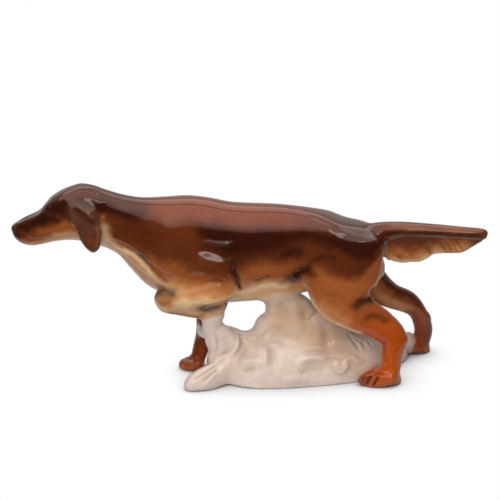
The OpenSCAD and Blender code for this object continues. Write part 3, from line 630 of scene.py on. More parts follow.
# Modelling, in millimetres: (castings, both sides alike, width, height, points). A groove's height is below 0.
MODELLING = [
    # brow, eye, muzzle, nose and mouth
    ("head", True, 1.3, 0.3, [(-118, -4.6, 105), (-114, -7.2, 107.6), (-109.6, -8.6, 109.6)]),
    ("head", True, 2.4, -1.5, [(-118.4, -6, 102.4), (-114.4, -8.8, 104.2), (-109.6, -10.6, 105.8)]),
    ("head", True, 1.2, 0.8, [(-116.4, -7.8, 105.4)]),
    ("head", True, 1.3, 0.9, [(-137, -3, 92.6), (-128.6, -4, 96.6), (-121, -5.6, 101)]),
    ("head", True, 2.8, -0.9, [(-128, -7, 91.6), (-122, -7.8, 95)]),
    ("head", True, 0.8, -0.8, [(-138.4, -3.4, 90)]),
    ("head", True, 0.6, -0.35, [(-135.8, -3.4, 93.2), (-135.2, -5.4, 90.6), (-136.2, -5.2, 88.2)]),
    ("head", True, 0.75, -0.4, [(-138, -4.2, 87.6), (-134.9, -6, 87.6), (-131.4, -6.7, 85.6), (-127.3, -6.7, 84.4),
                                (-123.3, -6.6, 84.6), (-120.4, -7.2, 85.6)]),
    ("head", True, 4, 0.5, [(-130, -6.6, 88.6), (-126, -7.2, 87.4)]),
    ("head", True, 2.6, 0.6, [(-113, -10, 100.6), (-107, -13, 99)]),
    ("head", True, 5.5, 0.6, [(-108, -12.6, 91.5)]),
    ("head trunk", True, 1.2, -0.6, [(-91.7, -5.8, 113.9)]),
    ("head trunk", True, 1.2, -0.6, [(-88.2, -5.2, 113.1)]),
    ("head trunk", True, 3.4, -0.6, [(-86.6, -9.3, 107.4), (-84.6, -11.2, 103.6), (-84.4, -12.5, 99.6)]),
    # ears
    ("left_ear right_ear head", True, 1.6, 0.4, [(-104.3, -10.6, 109.6), (-98.3, -13.5, 106.4), (-92.3, -15.2, 102),
                                                 (-87.9, -15.6, 96.6)]),
    (EARS, True, 1.8, -0.8, [(-103.4, -14.4, 105.4), (-99, -16.4, 102.4), (-94.6, -17.8, 97.6),
                             (-91.4, -17.6, 93.6)]),
    (EARS, True, 3, -0.5, [(-98.3, -17, 98), (-95.3, -18.2, 92), (-92.3, -17.8, 86.6)]),
    (EARS, True, 1.2, 0.5, [(-86.9, -15.6, 95), (-86.1, -15.6, 90.6), (-87.7, -15.4, 85)]),
    # neck and chest
    ("trunk", True, 2, 1.1, [(-79, -10.6, 83.6), (-75.6, -11.6, 81.6), (-65.7, -13.7, 73.1), (-59.3, -15.3, 68.1),
                             (-53.5, -15.6, 63.2), (-47.5, -17, 59)]),
    ("trunk", True, 1.7, -0.9, [(-74, -13.4, 84.6), (-65, -15.5, 77.6), (-58, -17.6, 73), (-50, -19.2, 67),
                                (-43, -20.2, 62.6)]),
    ("trunk", True, 2.2, -0.7, [(-62.6, -16.7, 77.5)]),
    ("trunk", True, 3.6, -0.9, [(-84, -12, 101), (-74, -13, 97.5), (-62, -16, 95)]),
    ("trunk", True, 4, 0.8, [(-82, -12.6, 92), (-70, -14.4, 87.6), (-60, -17.6, 83.6)]),
    # shoulder
    ("trunk", True, 4, -0.5, [(-52, -13, 101), (-56, -17, 91), (-55, -19.4, 80)]),
    ("trunk", True, 6, 0.6, [(-44, -15, 99), (-47, -20.4, 86), (-46, -21.6, 74)]),
    ("trunk", True, 2, -0.8, [(-32, -22.8, 89.4), (-25.8, -22, 91), (-17.1, -21.6, 89.4), (-6.7, -20.2, 90.6)]),
    ("trunk", True, 2, 0.6, [(-31.5, -23.1, 85.6), (-25.8, -22.6, 87.2), (-17.1, -22.4, 85.8), (-6.7, -20.9, 87)]),
    ("trunk", True, 4.5, -2.1, [(-32, -23.4, 84.5), (-22, -23.8, 83), (-11, -23.2, 78.1)]),
    ("trunk", True, 7.4, 2.5, [(-37, -23.6, 76.2), (-24, -24, 73.6), (-10.6, -23, 67.4)]),
    ("trunk", True, 4, -1, [(-12, -18.6, 90), (-10, -20, 86), (-8.6, -21.6, 78)]),
    (UPPER_ARM, True, 1.4, -1.6, [(-9.4, -22.8, 74.4), (-7.9, -21.8, 69.8), (-6.7, -20.2, 64.3), (-5, -17.5, 58.3)]),
    ("trunk", True, 2.6, 0.7, [(-4, -22, 70), (-1.6, -20.6, 62)]),
    # ribs, flank and hip
    ("trunk", True, 1.2, -0.5, [(3.8, -20.4, 64.4), (7.6, -20.2, 64.8), (11, -20, 65.8)]),
    ("trunk", True, 3, -0.5, [(-2, -22, 70.8), (7.3, -22, 73.7), (17.7, -20, 75.4), (27.1, -18.3, 77.2)]),
    ("trunk", True, 3.4, -0.8, [(26, -16.8, 65.8), (31, -17, 68.6), (36.5, -18.8, 71)]),
    ("trunk", True, 2.6, -0.6, [(20.6, -19.5, 77.6), (24.7, -18.6, 80.6)]),
    (THIGHS, True, 2.4, -0.5, [(36.4, -18.2, 74.9), (41, -19.2, 77.5), (45.6, -20, 79)]),
    (THIGHS, True, 3.2, -0.7, [(53.7, -22.4, 76.2), (58.3, -21.5, 78.3), (63, -19.8, 80.2)]),
    ("trunk", True, 6, 0.7, [(46, -13, 94)]),
    ("trunk", True, 1.1, -0.5, [(34.1, -8.5, 99.9), (39.9, -9.9, 98.2), (46.8, -12.3, 95), (50.6, -12.6, 93.4)]),
    ("trunk", True, 1.6, 0.5, [(51, -13.8, 92.6), (57.3, -14.6, 90.6), (65.5, -14.8, 87)]),
    ("trunk tail", True, 1.4, -0.9, [(71.2, -6.4, 90.7), (74.5, -8.6, 86.3), (76.9, -9.2, 81.8)]),
    # strands of the feathering
    *[("tail", True, 0.8, -0.3, strand) for strand in FEATHER_STRANDS],
    # raised foreleg
    (UPPER_ARM, False, 1.5, -0.9, [(-54.6, -12, 58.6), (-51, -14, 57.4), (-48, -16.6, 57.4)]),
    ("raised_foreleg", False, 1.1, 0.7, [(-29, -25.7, 52), (-24.2, -25.9, 52.7), (-16.6, -24.6, 54.4),
                                         (-9.6, -20.4, 56.2)]),
    ("raised_foreleg", False, 1.7, -0.5, [(-31, -23.2, 48.8), (-24, -22.6, 49), (-17, -20, 50.4), (-12, -17, 52.4)]),
    ("raised_foreleg", False, 2.4, -0.5, [(-49.5, -21, 50), (-44, -22.4, 52)]),
    # hind legs
    ("left_hind_leg", False, 2.6, -0.8, [(60.5, -26, 51.6), (65.4, -25, 52.6), (72, -20.3, 52.8)]),
    ("left_hind_leg", False, 2.2, -0.4, [(68, -25.7, 41.4), (73.9, -24.2, 42.7), (80, -20.6, 42)]),
    ("left_hind_leg", False, 6, 0.9, [(50, -25, 66), (48, -25.6, 56)]),
    ("left_hind_leg", False, 1.6, -0.6, [(80, -25.5, 27.6), (80, -24.8, 20.9), (79.6, -24.7, 14.6)]),
    ("left_hind_leg", False, 2, 0.7, [(90.4, -20, 29.4), (90.6, -21, 25)]),
    ("left_hind_leg", False, 3.2, 0.9, [(84, -26.4, 7.4)]),
    ("left_hind_leg", False, 1, -1.5, [(64, -28.4, 3.6), (67.4, -26.3, 7.4)]),
    ("left_hind_leg", False, 1, -1.5, [(67.8, -30, 1.8), (71.6, -27.6, 7.2)]),
    ("left_hind_leg", False, 1, -1.5, [(72.6, -30.1, 1.6), (76, -28.6, 6.6)]),
    ("right_hind_leg", False, 2, 0.7, [(109.6, 26, 28), (112, 28, 21)]),
    # mound and props
    (BASE, False, 3.1, 1.5, [(-11.5, -14.2, 30.5), (-8, -16.1, 22.6), (-9.5, -19, 18), (-14, -23.6, 13),
                             (-18, -28, 8.6)]),
    (BASE, False, 3, -0.8, [(-16, -16.4, 28), (-13.6, -17.4, 20.6), (-18, -20.6, 14.6)]),
    (BASE, False, 2.8, -0.8, [(-4.6, -13, 26), (-3.4, -18, 20), (-8, -23, 15)]),
    (BASE, False, 3.1, 1.5, [(-6.4, -25, 12.4), (-2.6, -25.4, 15.2), (3, -26, 16), (7, -27.6, 13.4)]),
    (BASE, False, 2.8, -1, [(-4.6, -27.4, 9.6), (0.4, -28.4, 11.6), (4, -28.8, 11)]),
    (BASE, False, 3.1, 1.3, [(7.6, -17.4, 23), (8.4, -22, 18.8), (9.4, -27.8, 12.4), (8.4, -30, 6.8)]),
    (BASE, False, 1.7, 1.1, [(8.2, -11.6, 27.4), (9.6, -13, 25.2), (12.2, -13.4, 25.4)]),
    (BASE, False, 3.4, -1, [(14.6, -27.4, 12.6), (15.4, -24.4, 18.8), (13, -18.6, 24)]),
    (BASE, False, 3.1, 1.7, [(27.4, -26.8, 12.2), (32, -24.8, 16.2), (39, -22.8, 17.4), (46.6, -22.6, 15)]),
    (BASE, False, 3.9, -1.2, [(29, -28.2, 8.6), (37, -27.2, 11.2), (46, -26, 9.6)]),
    (BASE, False, 2, 1.1, [(47.6, -20.4, 18), (55, -18.8, 17.4), (61, -17.2, 15.2), (64, -17.4, 13)]),
    (BASE, False, 2, 1.3, [(50.4, -22.6, 14), (53.6, -23.6, 9.6), (57.6, -21.8, 8.6)]),
    (BASE, False, 2, 1.3, [(56, -20.4, 14.6), (58.4, -21.2, 10.4), (57.6, -21.8, 8.6)]),
    (BASE, False, 2.8, 1.3, [(18, -29.6, 5), (27, -28.6, 5.6), (36, -27.4, 4.6)]),
    (BASE, False, 4.2, -1, [(18, -8.8, 48), (19, -9.6, 41), (17, -11.6, 33.6)]),
    (BASE, False, 3.6, 1.1, [(25, -9.2, 48), (27.4, -10.6, 39), (25.6, -14.8, 30), (21, -19.4, 23)]),
    (BASE, False, 2.5, -1, [(32.6, -9.8, 42), (34, -12.2, 34.4), (32.4, -15.6, 26.6)]),
    (BASE, False, 3.6, 1.3, [(37.6, -11.8, 36), (40.4, -14.6, 28.4), (38, -18.6, 21.6)]),
    (BASE, False, 3.1, -0.8, [(44.6, -14, 31), (47, -16.4, 24), (44, -20, 18.6)]),
    (BASE, False, 1.2, 0.9, [(-9, -9.9, 28.5), (-7.2, -13.8, 24.3), (-7.7, -15.7, 20.6), (-10.6, -18.5, 17.9),
                             (-15.9, -20.2, 15.8), (-22.1, -21.9, 13.9)]),
    (BASE, False, 1.2, 0.8, [(-24.4, -18.9, 34.4), (-21.9, -19.4, 30.2), (-21.2, -19.7, 24.7), (-21.9, -19.5, 18.9),
                             (-23.9, -17.2, 13.6)]),
    (BASE, False, 1.3, -0.6, [(-22.6, -19.2, 31.4), (-19.1, -19.8, 27.9), (-18.5, -20.2, 23), (-20.3, -19.7, 17.7)]),
    (BASE, False, 0.9, 0.7, [(-19.7, -22.2, 14.6), (-27.3, -27.1, 11.8), (-34.9, -31.6, 7.9)]),
    (BASE, False, 0.9, -0.7, [(-18.5, -24.5, 14.2), (-25.5, -29.4, 11.5), (-33.1, -34, 7.3)]),
    (BASE, False, 0.9, 0.7, [(-17.9, -26.5, 13.5), (-24.3, -31.1, 10.2), (-31.3, -35, 6.2)]),
    (BASE, False, 0.9, -0.7, [(-17.9, -27.9, 12.1), (-23.1, -32, 8.7), (-29, -34.9, 4.9)]),
    (BASE, False, 0.9, 0.7, [(-19.1, -29.8, 10.4), (-22.6, -32.5, 7), (-26.7, -33.4, 3)]),
    (BASE, False, 1.2, 0.7, [(-2.7, -13.5, 22.9), (-1.5, -12.7, 23.5)]),
    (BASE, False, 1.2, 0.7, [(1.5, -11.1, 24.1), (3.3, -10, 24.5)]),
    (BASE, False, 1.3, 0.9, [(8.5, -19, 22.5), (9.7, -24.3, 19.5), (10, -27, 16.2), (7.9, -29, 11.9)]),
    (BASE, False, 1.2, 0.9, [(-5.6, -25, 12.9), (-2.6, -24.9, 15), (0.9, -25.6, 16), (4.4, -27.2, 15)]),
    (BASE, False, 3.2, 0.9, [(4.3, -29.9, 8.3)]),
    (BASE, False, 1.2, 0.9, [(29.1, -26.3, 14.1), (35.3, -23.8, 16.5), (42.7, -22.6, 15.7), (47.8, -22.5, 13.3)]),
    (BASE, False, 0.9, 0.8, [(42.7, -22, 16.7), (50.3, -19.8, 16.8), (56.6, -18.9, 14.8), (60, -18.4, 13.4)]),
    (BASE, False, 0.9, 0.8, [(61.6, -17.4, 14), (65.4, -16.9, 11.1), (68, -14.8, 12.3)]),
    (BASE, False, 1, 0.8, [(49, -22.5, 12.6), (52.8, -23.1, 6.4), (57.2, -21.2, 8.4)]),
    (BASE, False, 0.9, -0.8, [(57.9, -5.6, 27.8), (61.7, -9.6, 21.6), (65.4, -13.9, 16.1)]),
    (BASE, False, 0.8, 0.7, [(59.4, -20.5, 33.2), (63.6, -8.1, 21.7), (66.9, -12.3, 17)]),
    (BASE, False, 0.8, -0.6, [(61.2, -21.1, 32.8), (65.7, -7.1, 21.3), (69.1, -10.7, 17)]),
    (BASE, False, 0.8, 0.7, [(63, -22.3, 32.9), (67.5, -5.8, 21.2), (71, -8.8, 17.3)]),
    (BASE, False, 0.8, -0.6, [(65.4, -22.4, 32), (69.7, -4.5, 20.7), (72.8, -7.2, 17.3)]),
    (BASE, False, 0.8, 0.7, [(67.8, -21.5, 30.4), (71.8, -3.6, 20), (74.7, -5.2, 17.2)]),
]

# Millimetres between places where a brush line is laid on the skin, and how far modelling fades towards its ends
BRUSH_STEP = 1.5
BRUSH_TAPER = 0.9

# Painting: (castings, both sides alike, colour, strength, reach, points), in millimetres, in the order it is sprayed
PAINTING = [
    # throat and chest
    ("trunk head", True, "cream", 0.7, 3.4, [(-85.3, -12.4, 93), (-84.3, -10.9, 87), (-81, -9.6, 82.8)]),
    ("trunk", True, "tan", 0.7, 2.4, [(-81, -9.1, 82), (-75.2, -9.6, 77.9), (-68.9, -9.8, 69.9),
                                      (-62.6, -9.3, 61.6)]),
    # cream line down the chest: paint, and a painted highlight along its ridge
    ("trunk", True, "cream", 0.85, 1.7, [(-78, -10.2, 81.8), (-68.6, -13.9, 78.1), (-60.4, -15.8, 70.7),
                                         (-52.4, -15.4, 61.9), (-43.5, -19, 58.2), (-37, -23.1, 57.3)]),
    ("trunk", True, "umber", 0.45, 1.3, [(-70.8, -13.9, 83.1), (-63.8, -15.9, 77), (-56.9, -17.3, 70.7),
                                         (-48.8, -17.7, 63.4)]),
    ("trunk", True, "umber", 0.6, 2, [(-63.8, -16, 78.2), (-61.5, -16.8, 76.6)]),
    ("trunk", True, "walnut", 0.5, 1.3, [(-74.2, -7.6, 74.1), (-67.7, -10.8, 69.6), (-60.8, -10.5, 61.4)]),
    # neck and shoulder
    ("trunk", True, "walnut", 0.6, 4, [(-80, -12.9, 96.2), (-71.8, -13.4, 95.8)]),
    ("trunk head", True, "umber", 0.95, 2.8, [(-88.6, -10.8, 107.2), (-84.6, -10, 107.5), (-79.9, -11.3, 103.7),
                                              (-74.1, -11.4, 102.5), (-63.7, -11.3, 102.4)]),
    ("trunk head", True, "amber", 0.75, 1.3, [(-85.5, -12.2, 100.6), (-85.2, -12.7, 97.4)]),
    # umber in the hollow behind the ear is painted shade
    ("trunk head", True, "umber", 0.9, 2.2, [(-89, -11, 105.6), (-85.4, -11.4, 104)]),
    ("trunk", True, "umber", 0.35, 7, [(-70, -14.2, 94.6), (-60, -15.6, 90.4)]),
    ("trunk", True, "amber", 0.55, 3, [(-57.9, -18.1, 76.5), (-52.1, -19.5, 72), (-45.1, -20.9, 68.9)]),
    ("trunk", True, "umber", 0.5, 6, [(-24, -20.4, 92.6), (-15.9, -21, 89.2), (-9, -22.3, 82.3)]),
    ("trunk", True, "umber", 0.7, 3.2, [(-10.7, -22.9, 76.9), (-9, -22.2, 71.1)]),
    (UPPER_ARM, True, "umber", 1, 1.5, [(-9.6, -22.5, 72.5), (-7.9, -21.4, 67.8), (-6.7, -19.7, 62.8),
                                        (-5, -17.5, 58.3)]),
    # ribs and belly
    ("trunk", True, "amber", 0.4, 3, [(0.3, -21.8, 70.4), (8.4, -21.3, 69), (18.9, -19.4, 70.2)]),
    ("trunk", True, "umber", 0.6, 1, [(3.2, -20, 63.6), (7.3, -20.4, 64.9), (11.9, -20.3, 66.1)]),
    # cream along the belly's edge: paint, made paler as painted light bounced from the table
    ("trunk", True, "cream", 0.85, 3, [(-3.8, -15.6, 55.1), (3.8, -17, 57.5), (12, -17.3, 59.5),
                                       (21.4, -14.9, 58.6)]),
    # flank and hip
    (THIGHS, True, "umber", 1, 4.6, [(26, -16.7, 65.5), (30.7, -16.6, 67.3), (34.7, -18.2, 69.7)]),
    (THIGHS, True, "umber", 0.6, 1.8, [(34.7, -18.2, 69.7), (38.7, -21.3, 67.7)]),
    ("trunk", True, "umber", 0.85, 3, [(20, -19.5, 80.1), (24.1, -18.7, 82.2), (28.8, -18.2, 79.6)]),
    (THIGHS, True, "umber", 0.55, 1.8, [(36.4, -18.2, 74.7), (42.2, -19.1, 78.1)]),
    (THIGHS, True, "umber", 0.6, 2.2, [(43.9, -19.3, 78.8), (47.9, -20.5, 77.9)]),
    (THIGHS, True, "umber", 0.85, 4.2, [(49.1, -18.2, 86.4), (56, -19.2, 84.2), (64.2, -18.3, 82.1),
                                        (68.9, -18.1, 79.6)]),
    (THIGHS, True, "umber", 0.3, 6, [(53, -21, 74.6), (63, -20, 72.4)]),
    # head
    ("head", True, "umber", 0.9, 5, [(-135, -5.6, 91.6), (-127, -7, 94), (-120, -8.4, 98), (-110, -11.6, 101.6)]),
    ("head", True, "amber", 0.8, 2.8, [(-121.3, -8, 89.7), (-114, -10.7, 91.8), (-106.8, -12.6, 93.1),
                                       (-100, -13, 92)]),
    ("head", True, "tan", 0.3, 1.8, [(-122.7, -6.7, 85.5), (-114.3, -8.4, 87.4), (-106, -9, 87.6), (-99, -10, 87)]),
    ("head", True, "russet", 0.5, 1.8, [(-132.1, -6.1, 84.1), (-127.5, -5.8, 82.7), (-122.8, -6.1, 84.1)]),
    ("head", True, "walnut", 0.6, 3, [(-134, -6, 86.4), (-128, -6.4, 85.6), (-118, -7.6, 87)]),
    ("head", True, "black", 0.6, 2, [(-129.6, -4.8, 95.4), (-124.8, -5.4, 96.8), (-119.9, -6.7, 100.3)]),
    # umber under the brow, round the eye, is painted shade
    ("head", True, "umber", 0.9, 2.2, [(-117.5, -5.8, 104.9), (-112.6, -9.2, 106), (-107.6, -13.3, 107.4)]),
    # umber in front of the ear's edge is a painted shadow
    ("head", True, "umber", 0.8, 1.6, [(-107, -12.8, 108.4), (-106.4, -15.1, 104.3), (-105.2, -16.2, 100.4)]),
    ("head", False, "black", 0.85, 2.6, [(-137.9, -4.3, 90.9), (-136.8, -5.3, 87.5)]),
    ("head", True, "umber", 0.6, 2.4, [(-135.5, -5.6, 90.1), (-131.9, -5.9, 92.1)]),
    ("head", True, "black", 0.7, 0.7, [(-136.2, -5.3, 86.3), (-132.6, -6.5, 86.1), (-129.1, -6.7, 84.9),
                                       (-125.6, -6.5, 84.6)]),
    ("head", True, "black", 0.95, 1.4, [(-119, -6.4, 104.6), (-117, -7.4, 105.2), (-114.8, -8.4, 105.8)]),
    ("head", True, "umber", 0.75, 3.4, [(-119, -6.6, 107), (-113, -9, 108), (-106, -10.4, 106.6)]),
    ("head", True, "amber", 0.25, 2.6, [(-132, -8, 82.4), (-120, -9, 83.6), (-106, -9, 85.6)]),
    # ears
    # umber under the ear's fold is a painted shadow
    (EARS, True, "umber", 0.8, 1.7, [(-104.7, -13, 108.2), (-99.4, -13.9, 105.7), (-94.8, -14.8, 102.7),
                                     (-90.8, -15.9, 98.8)]),
    (EARS, True, "amber", 0.6, 1, [(-88.6, -16.4, 95), (-88.2, -16.4, 89), (-89.6, -16.6, 84)]),
    (EARS, True, "chestnut", 0.5, 2.6, [(-93.7, -18.4, 90.7), (-91.5, -17.7, 85)]),
    # raised foreleg
    (UPPER_ARM, False, "umber", 1, 3.8, [(-55, -16, 54), (-51, -18.4, 55.6), (-46, -20.6, 56)]),
    ("raised_foreleg", False, "amber", 0.8, 2.6, [(-52.3, -21.1, 50.9), (-47.6, -22.3, 50.1)]),
    ("raised_foreleg", False, "cream", 0.8, 2.8, [(-40.5, -24, 51.4), (-34.7, -25, 51.7), (-26.5, -26.1, 53.4)]),
    # umber on the folded paw under the forearm is a painted shadow
    ("raised_foreleg", False, "umber", 1, 3.8, [(-28.3, -23.9, 47.9), (-21.9, -22.1, 47.5), (-15.5, -20.5, 49.5)]),
    ("raised_foreleg", False, "amber", 0.8, 1.6, [(-46.6, -19.3, 43.4), (-38.4, -19.3, 42.1), (-26.7, -20.3, 42.2)]),
    # thin cream along the forearm's lower edge is a painted highlight
    ("raised_foreleg", False, "cream", 0.9, 0.9, [(-26.5, -25.8, 52), (-19.5, -25.6, 53.5), (-12.5, -22.7, 54.9),
                                                  (-6.7, -16.8, 56.2)]),
    # hind legs
    ("left_hind_leg", False, "umber", 0.9, 3, [(62.1, -25.5, 51.3), (65.6, -24.6, 52.8), (71, -20.4, 52.5)]),
    ("left_hind_leg", False, "umber", 0.6, 2.4, [(69.2, -25.4, 43.2), (73.9, -24.5, 43.5), (79.8, -23.9, 40.8)]),
    # tan line down the back edge of the thigh is a painted highlight
    ("left_hind_leg", False, "tan", 0.6, 1.5, [(79, -10, 74), (77.6, -15, 66), (73.5, -20, 59.3)]),
    ("left_hind_leg", False, "cream", 0.85, 2.6, [(33.2, -15, 58), (36.8, -18, 51.4), (42.6, -20, 44),
                                                  (52.4, -21.6, 36.4), (63.6, -22, 32.6)]),
    ("left_hind_leg", False, "tan", 0.5, 4.4, [(42.3, -22.7, 49), (48.2, -24, 45.2), (56.4, -25, 41.2)]),
    ("left_hind_leg", False, "umber", 0.35, 2, [(78.9, -23.7, 25.6), (79.1, -24.1, 18.2)]),
    ("left_hind_leg", False, "black", 0.9, 1, [(64.2, -28.4, 3.4), (67.2, -26.3, 7.2)]),
    ("left_hind_leg", False, "black", 0.9, 1, [(67.8, -30, 2), (71.4, -27.6, 7)]),
    ("left_hind_leg", False, "black", 0.9, 1, [(72.6, -30.1, 1.8), (75.8, -28.6, 6.4)]),
    ("left_hind_leg", True, "walnut", 0.7, 3, [(64.6, -25, 5), (69.4, -28.4, 4.4)]),
    ("right_hind_leg", False, "umber", 0.45, 16, [(96, 20, 34), (108, 26, 12)]),
    ("right_hind_leg", False, "umber", 0.9, 4.4, [(80, 14, 58), (87, 15, 49), (97, 18, 41), (105, 21, 34)]),
    ("right_hind_leg", False, "tan", 0.8, 4, [(74, 10, 46), (84, 12, 37), (92, 16.6, 31)]),
    ("right_hind_leg", False, "umber", 0.5, 4, [(110, 24, 24), (109, 25, 8)]),
    # standing foreleg
    ("standing_foreleg", False, "chestnut", 0.85, 14, [(-22, 6, 38), (-31, 4, 12)]),
    ("standing_foreleg", False, "walnut", 0.7, 6, [(-22, 2, 38), (-28, 0, 20), (-36, 0, 8)]),
    # tail
    ("tail", True, "amber", 0.9, 5, [(82, -2.4, 77), (94, -2.4, 76), (108, -2.4, 79), (124, -2.4, 80)]),
    ("tail", True, "walnut", 0.4, 2.4, [(84, -2.4, 79.6), (100, -2.4, 78), (112, -2.4, 80.6)]),
    ("tail", True, "tan", 1, 4.6, [(82, -2, 71.4), (90, -2, 69.4), (100, -2, 70), (106, -2, 73.4), (114, -2, 75.4),
                                   (126, -2, 77)]),
    ("tail", True, "cream", 0.7, 1.5, [(82, -1.6, 70.6), (90, -1.6, 68.4), (100, -1.6, 69), (106, -1.6, 72.4),
                                       (114, -1.6, 74.4)]),
    ("tail", True, "russet", 0.6, 1.6, [(86.4, -2, 74.4), (92.4, -2, 71.6)]),
    ("tail", True, "umber", 0.5, 1.3, [(88.6, -2, 72), (90.4, -2, 70.6)]),
    ("tail", True, "umber", 0.3, 1.1, [(94.6, -2, 75), (96, -2, 71.4)]),
    ("tail", True, "umber", 0.5, 1.1, [(104.6, -2, 78), (107, -2, 74)]),
    ("tail", True, "walnut", 0.35, 3, [(108, -2, 77.5), (117, -2, 78)]),
    # cocoa on the upper feathering: brown paint greyed as a painted sheen
    ("tail", True, "cocoa", 0.7, 3, [(80, -4.4, 82.6), (96, -4.2, 82.4), (112, -4, 82.6)]),
    # amber along the dock's top brightens its sheen band: a painted highlight
    ("tail", True, "amber", 0.5, 2.2, [(84, -4, 91.4), (108, -3.6, 90.4), (132, -2.4, 88)]),
    # umber line under the dock: paint, and the painted shadow of its undercut
    ("tail", True, "umber", 0.95, 1.6, [(76, -6.4, 87.2), (90, -6.2, 88.6), (110, -5.2, 87.8), (134, -3.4, 85.6)]),
    *[("tail", True, "walnut", 0.6, 0.6, strand) for strand in FEATHER_STRANDS[:4]],
    # mound: fawn as painted shade under the belly, column and thigh
    ("mound belly_prop", True, "fawn", 0.6, 11, [(20, -12, 44), (26, -14, 34), (46, -20, 24), (62, -22, 16)]),
    (BASE, False, "fawn", 0.9, 8, [(30, -11, 40), (38, -14, 30), (50, -14, 26)]),
    (BASE, False, "fawn", 0.8, 6, [(18, -9, 44), (16, -12, 32)]),
]

# Swing, in millimetres, of the edges of the coat's colours, and of a stroke's edge as a share of its reach and at most
COAT_SWING = 0.5
STROKE_SWING = 0.22
STROKE_SWING_MOST = 0.9
# Painted shade: umber darkens the dog's hollows, and tan pales its ridges: (strength, how hollow or raised at least)
HOLLOW_SHADE = (0.5, 0.15)
RIDGE_PALING = (0.12, 0.3)

# Joints between two lumps of clay: how many grains wide the slip is drawn out on each side
FILLETS = {("body", "left_thigh"): 40, ("body", "right_thigh"): 30, ("body", "forearm"): 34, ("body", "foreleg"): 14,
           ("body", "dock"): 9, ("body", "feather"): 2, ("body", "folded_paw"): 6, ("forearm", "folded_paw"): 8,
           ("body", "column"): 9, ("column", "mound"): 34, ("column", "left_thigh"): 5, ("mound", "stalk"): 30,
           ("bank", "mound"): 24, ("bank", "stalk"): 20, ("forearm", "stalk"): 4, ("folded_paw", "stalk"): 5,
           ("foreleg", "web"): 8, ("stalk", "web"): 14, ("dock", "feather"): 1, ("foreleg", "paw"): 8,
           ("left_thigh", "paw"): 9, ("paw", "right_thigh"): 8, ("body", "left_ear"): 9, ("body", "right_ear"): 9,
           ("mound", "saddle"): 34, ("saddle", "stalk"): 30, ("column", "saddle"): 34, ("bank", "saddle"): 24}
FILLET_ROUNDS = 240
# Each round goes this share of the way. Ridges are scraped and the skin slides this much as fast as corners fill.
FILLET_PACE = 0.6
RIDGE_SHARE = 0.12
SLIDE_SHARE = 0.3
# Rounds of smoothing after the clay is fused, luted and modelled
FUSED_ROUNDS, LUTED_ROUNDS, MODELLED_ROUNDS = 10, 4, 2
# Rounds by which modelling and paint run over a seam, and by which the form is softened to find its hollows
SEAM_ROUNDS, SPRAY_ROUNDS, FORM_ROUNDS = 3, 40, 14
# Millimetres below the softened form that count as a full hollow
HOLLOW_DEPTH = 0.45


def sides_of(quads):
    """First sides of all the quads, then the second, third and fourth ones, as pairs of point numbers."""
    return np.concatenate([quads[:, [i, (i + 1) % 4]] for i in range(4)])


def edge_list(quads):
    """Every edge once, as a pair of point numbers."""
    pairs = sides_of(quads)
    pairs.sort(axis=1)
    return np.unique(pairs, axis=0)


def averaged(values, edges, degree):
    """Mean of each point's neighbours."""
    out = np.empty_like(values)
    for k in range(values.shape[1]):
        out[:, k] = (np.bincount(edges[:, 0], values[edges[:, 1], k], len(values))
                     + np.bincount(edges[:, 1], values[edges[:, 0], k], len(values))) / degree
    return out


def spread_out(values, edges, degree, rounds, keep=0.0):
    """Values mixed with their neighbours' again and again."""
    for _ in range(rounds):
        values = keep * values + (1 - keep) * averaged(values, edges, degree)
    return values


def fettled(points, edges, degree, rounds, shrink=0.5, swell=-0.52):
    """Points smoothed without losing volume."""
    for step in range(rounds * 2):
        points = points + (shrink if step % 2 == 0 else swell) * (averaged(points, edges, degree) - points)
    return points


def outward(points, quads):
    """Unit normals at the points."""
    face = np.cross(points[quads[:, 2]] - points[quads[:, 0]], points[quads[:, 3]] - points[quads[:, 1]])
    total = np.zeros_like(points)
    for i in range(4):
        for k in range(3):
            total[:, k] += np.bincount(quads[:, i], face[:, k], len(points))
    return total / (np.linalg.norm(total, axis=1, keepdims=True) + 1e-12)


def run_along(stops):
    """Length of a line from its first stop to each of its stops."""
    return np.concatenate([[0], np.cumsum(np.linalg.norm(np.diff(stops, axis=0), axis=1))])


def distance_to(points, line):
    """Distance of points from a line through a few stops, and the share of the line's length at the nearest place."""
    stops = np.asarray(line, float)
    if len(stops) == 1:
        return np.linalg.norm(points - stops[0], axis=1), np.full(len(points), 0.5)
    run = run_along(stops)
    nearest, share = np.full(len(points), 1e9), np.zeros(len(points))
    for i, (a, b) in enumerate(zip(stops[:-1], stops[1:])):
        t = np.clip((points - a) @ (b - a) / max((b - a) @ (b - a), 1e-9), 0, 1)
        far = np.linalg.norm(points - a - t[:, None] * (b - a), axis=1)
        closer = far < nearest
        nearest[closer] = far[closer]
        share[closer] = ((run[i] + t * (run[i + 1] - run[i])) / max(run[-1], 1e-9))[closer]
    return nearest, share


def brushed(points, sides_alike, line, reach, tapered=0.0):
    """Strength of a soft round brush drawn along a line, lifted towards its ends where it is tapered."""
    at = points.copy()
    if sides_alike:
        at[:, 1] = -np.abs(at[:, 1])
    low, high = np.min(line, axis=0) - 3 * reach, np.max(line, axis=0) + 3 * reach
    near = np.flatnonzero(np.all((at > low) & (at < high), axis=1))
    out = np.zeros(len(points))
    far, share = distance_to(at[near], line)
    out[near] = np.exp(-(far / reach) ** 2) * (1 - tapered * np.abs(2 * share - 1) ** 3)
    return out


def skin_tree(points):
    """Search tree over the points of the skin."""
    tree = KDTree(len(points))
    for i, point in enumerate(points):
        tree.insert(point, i)
    tree.balance()
    return tree


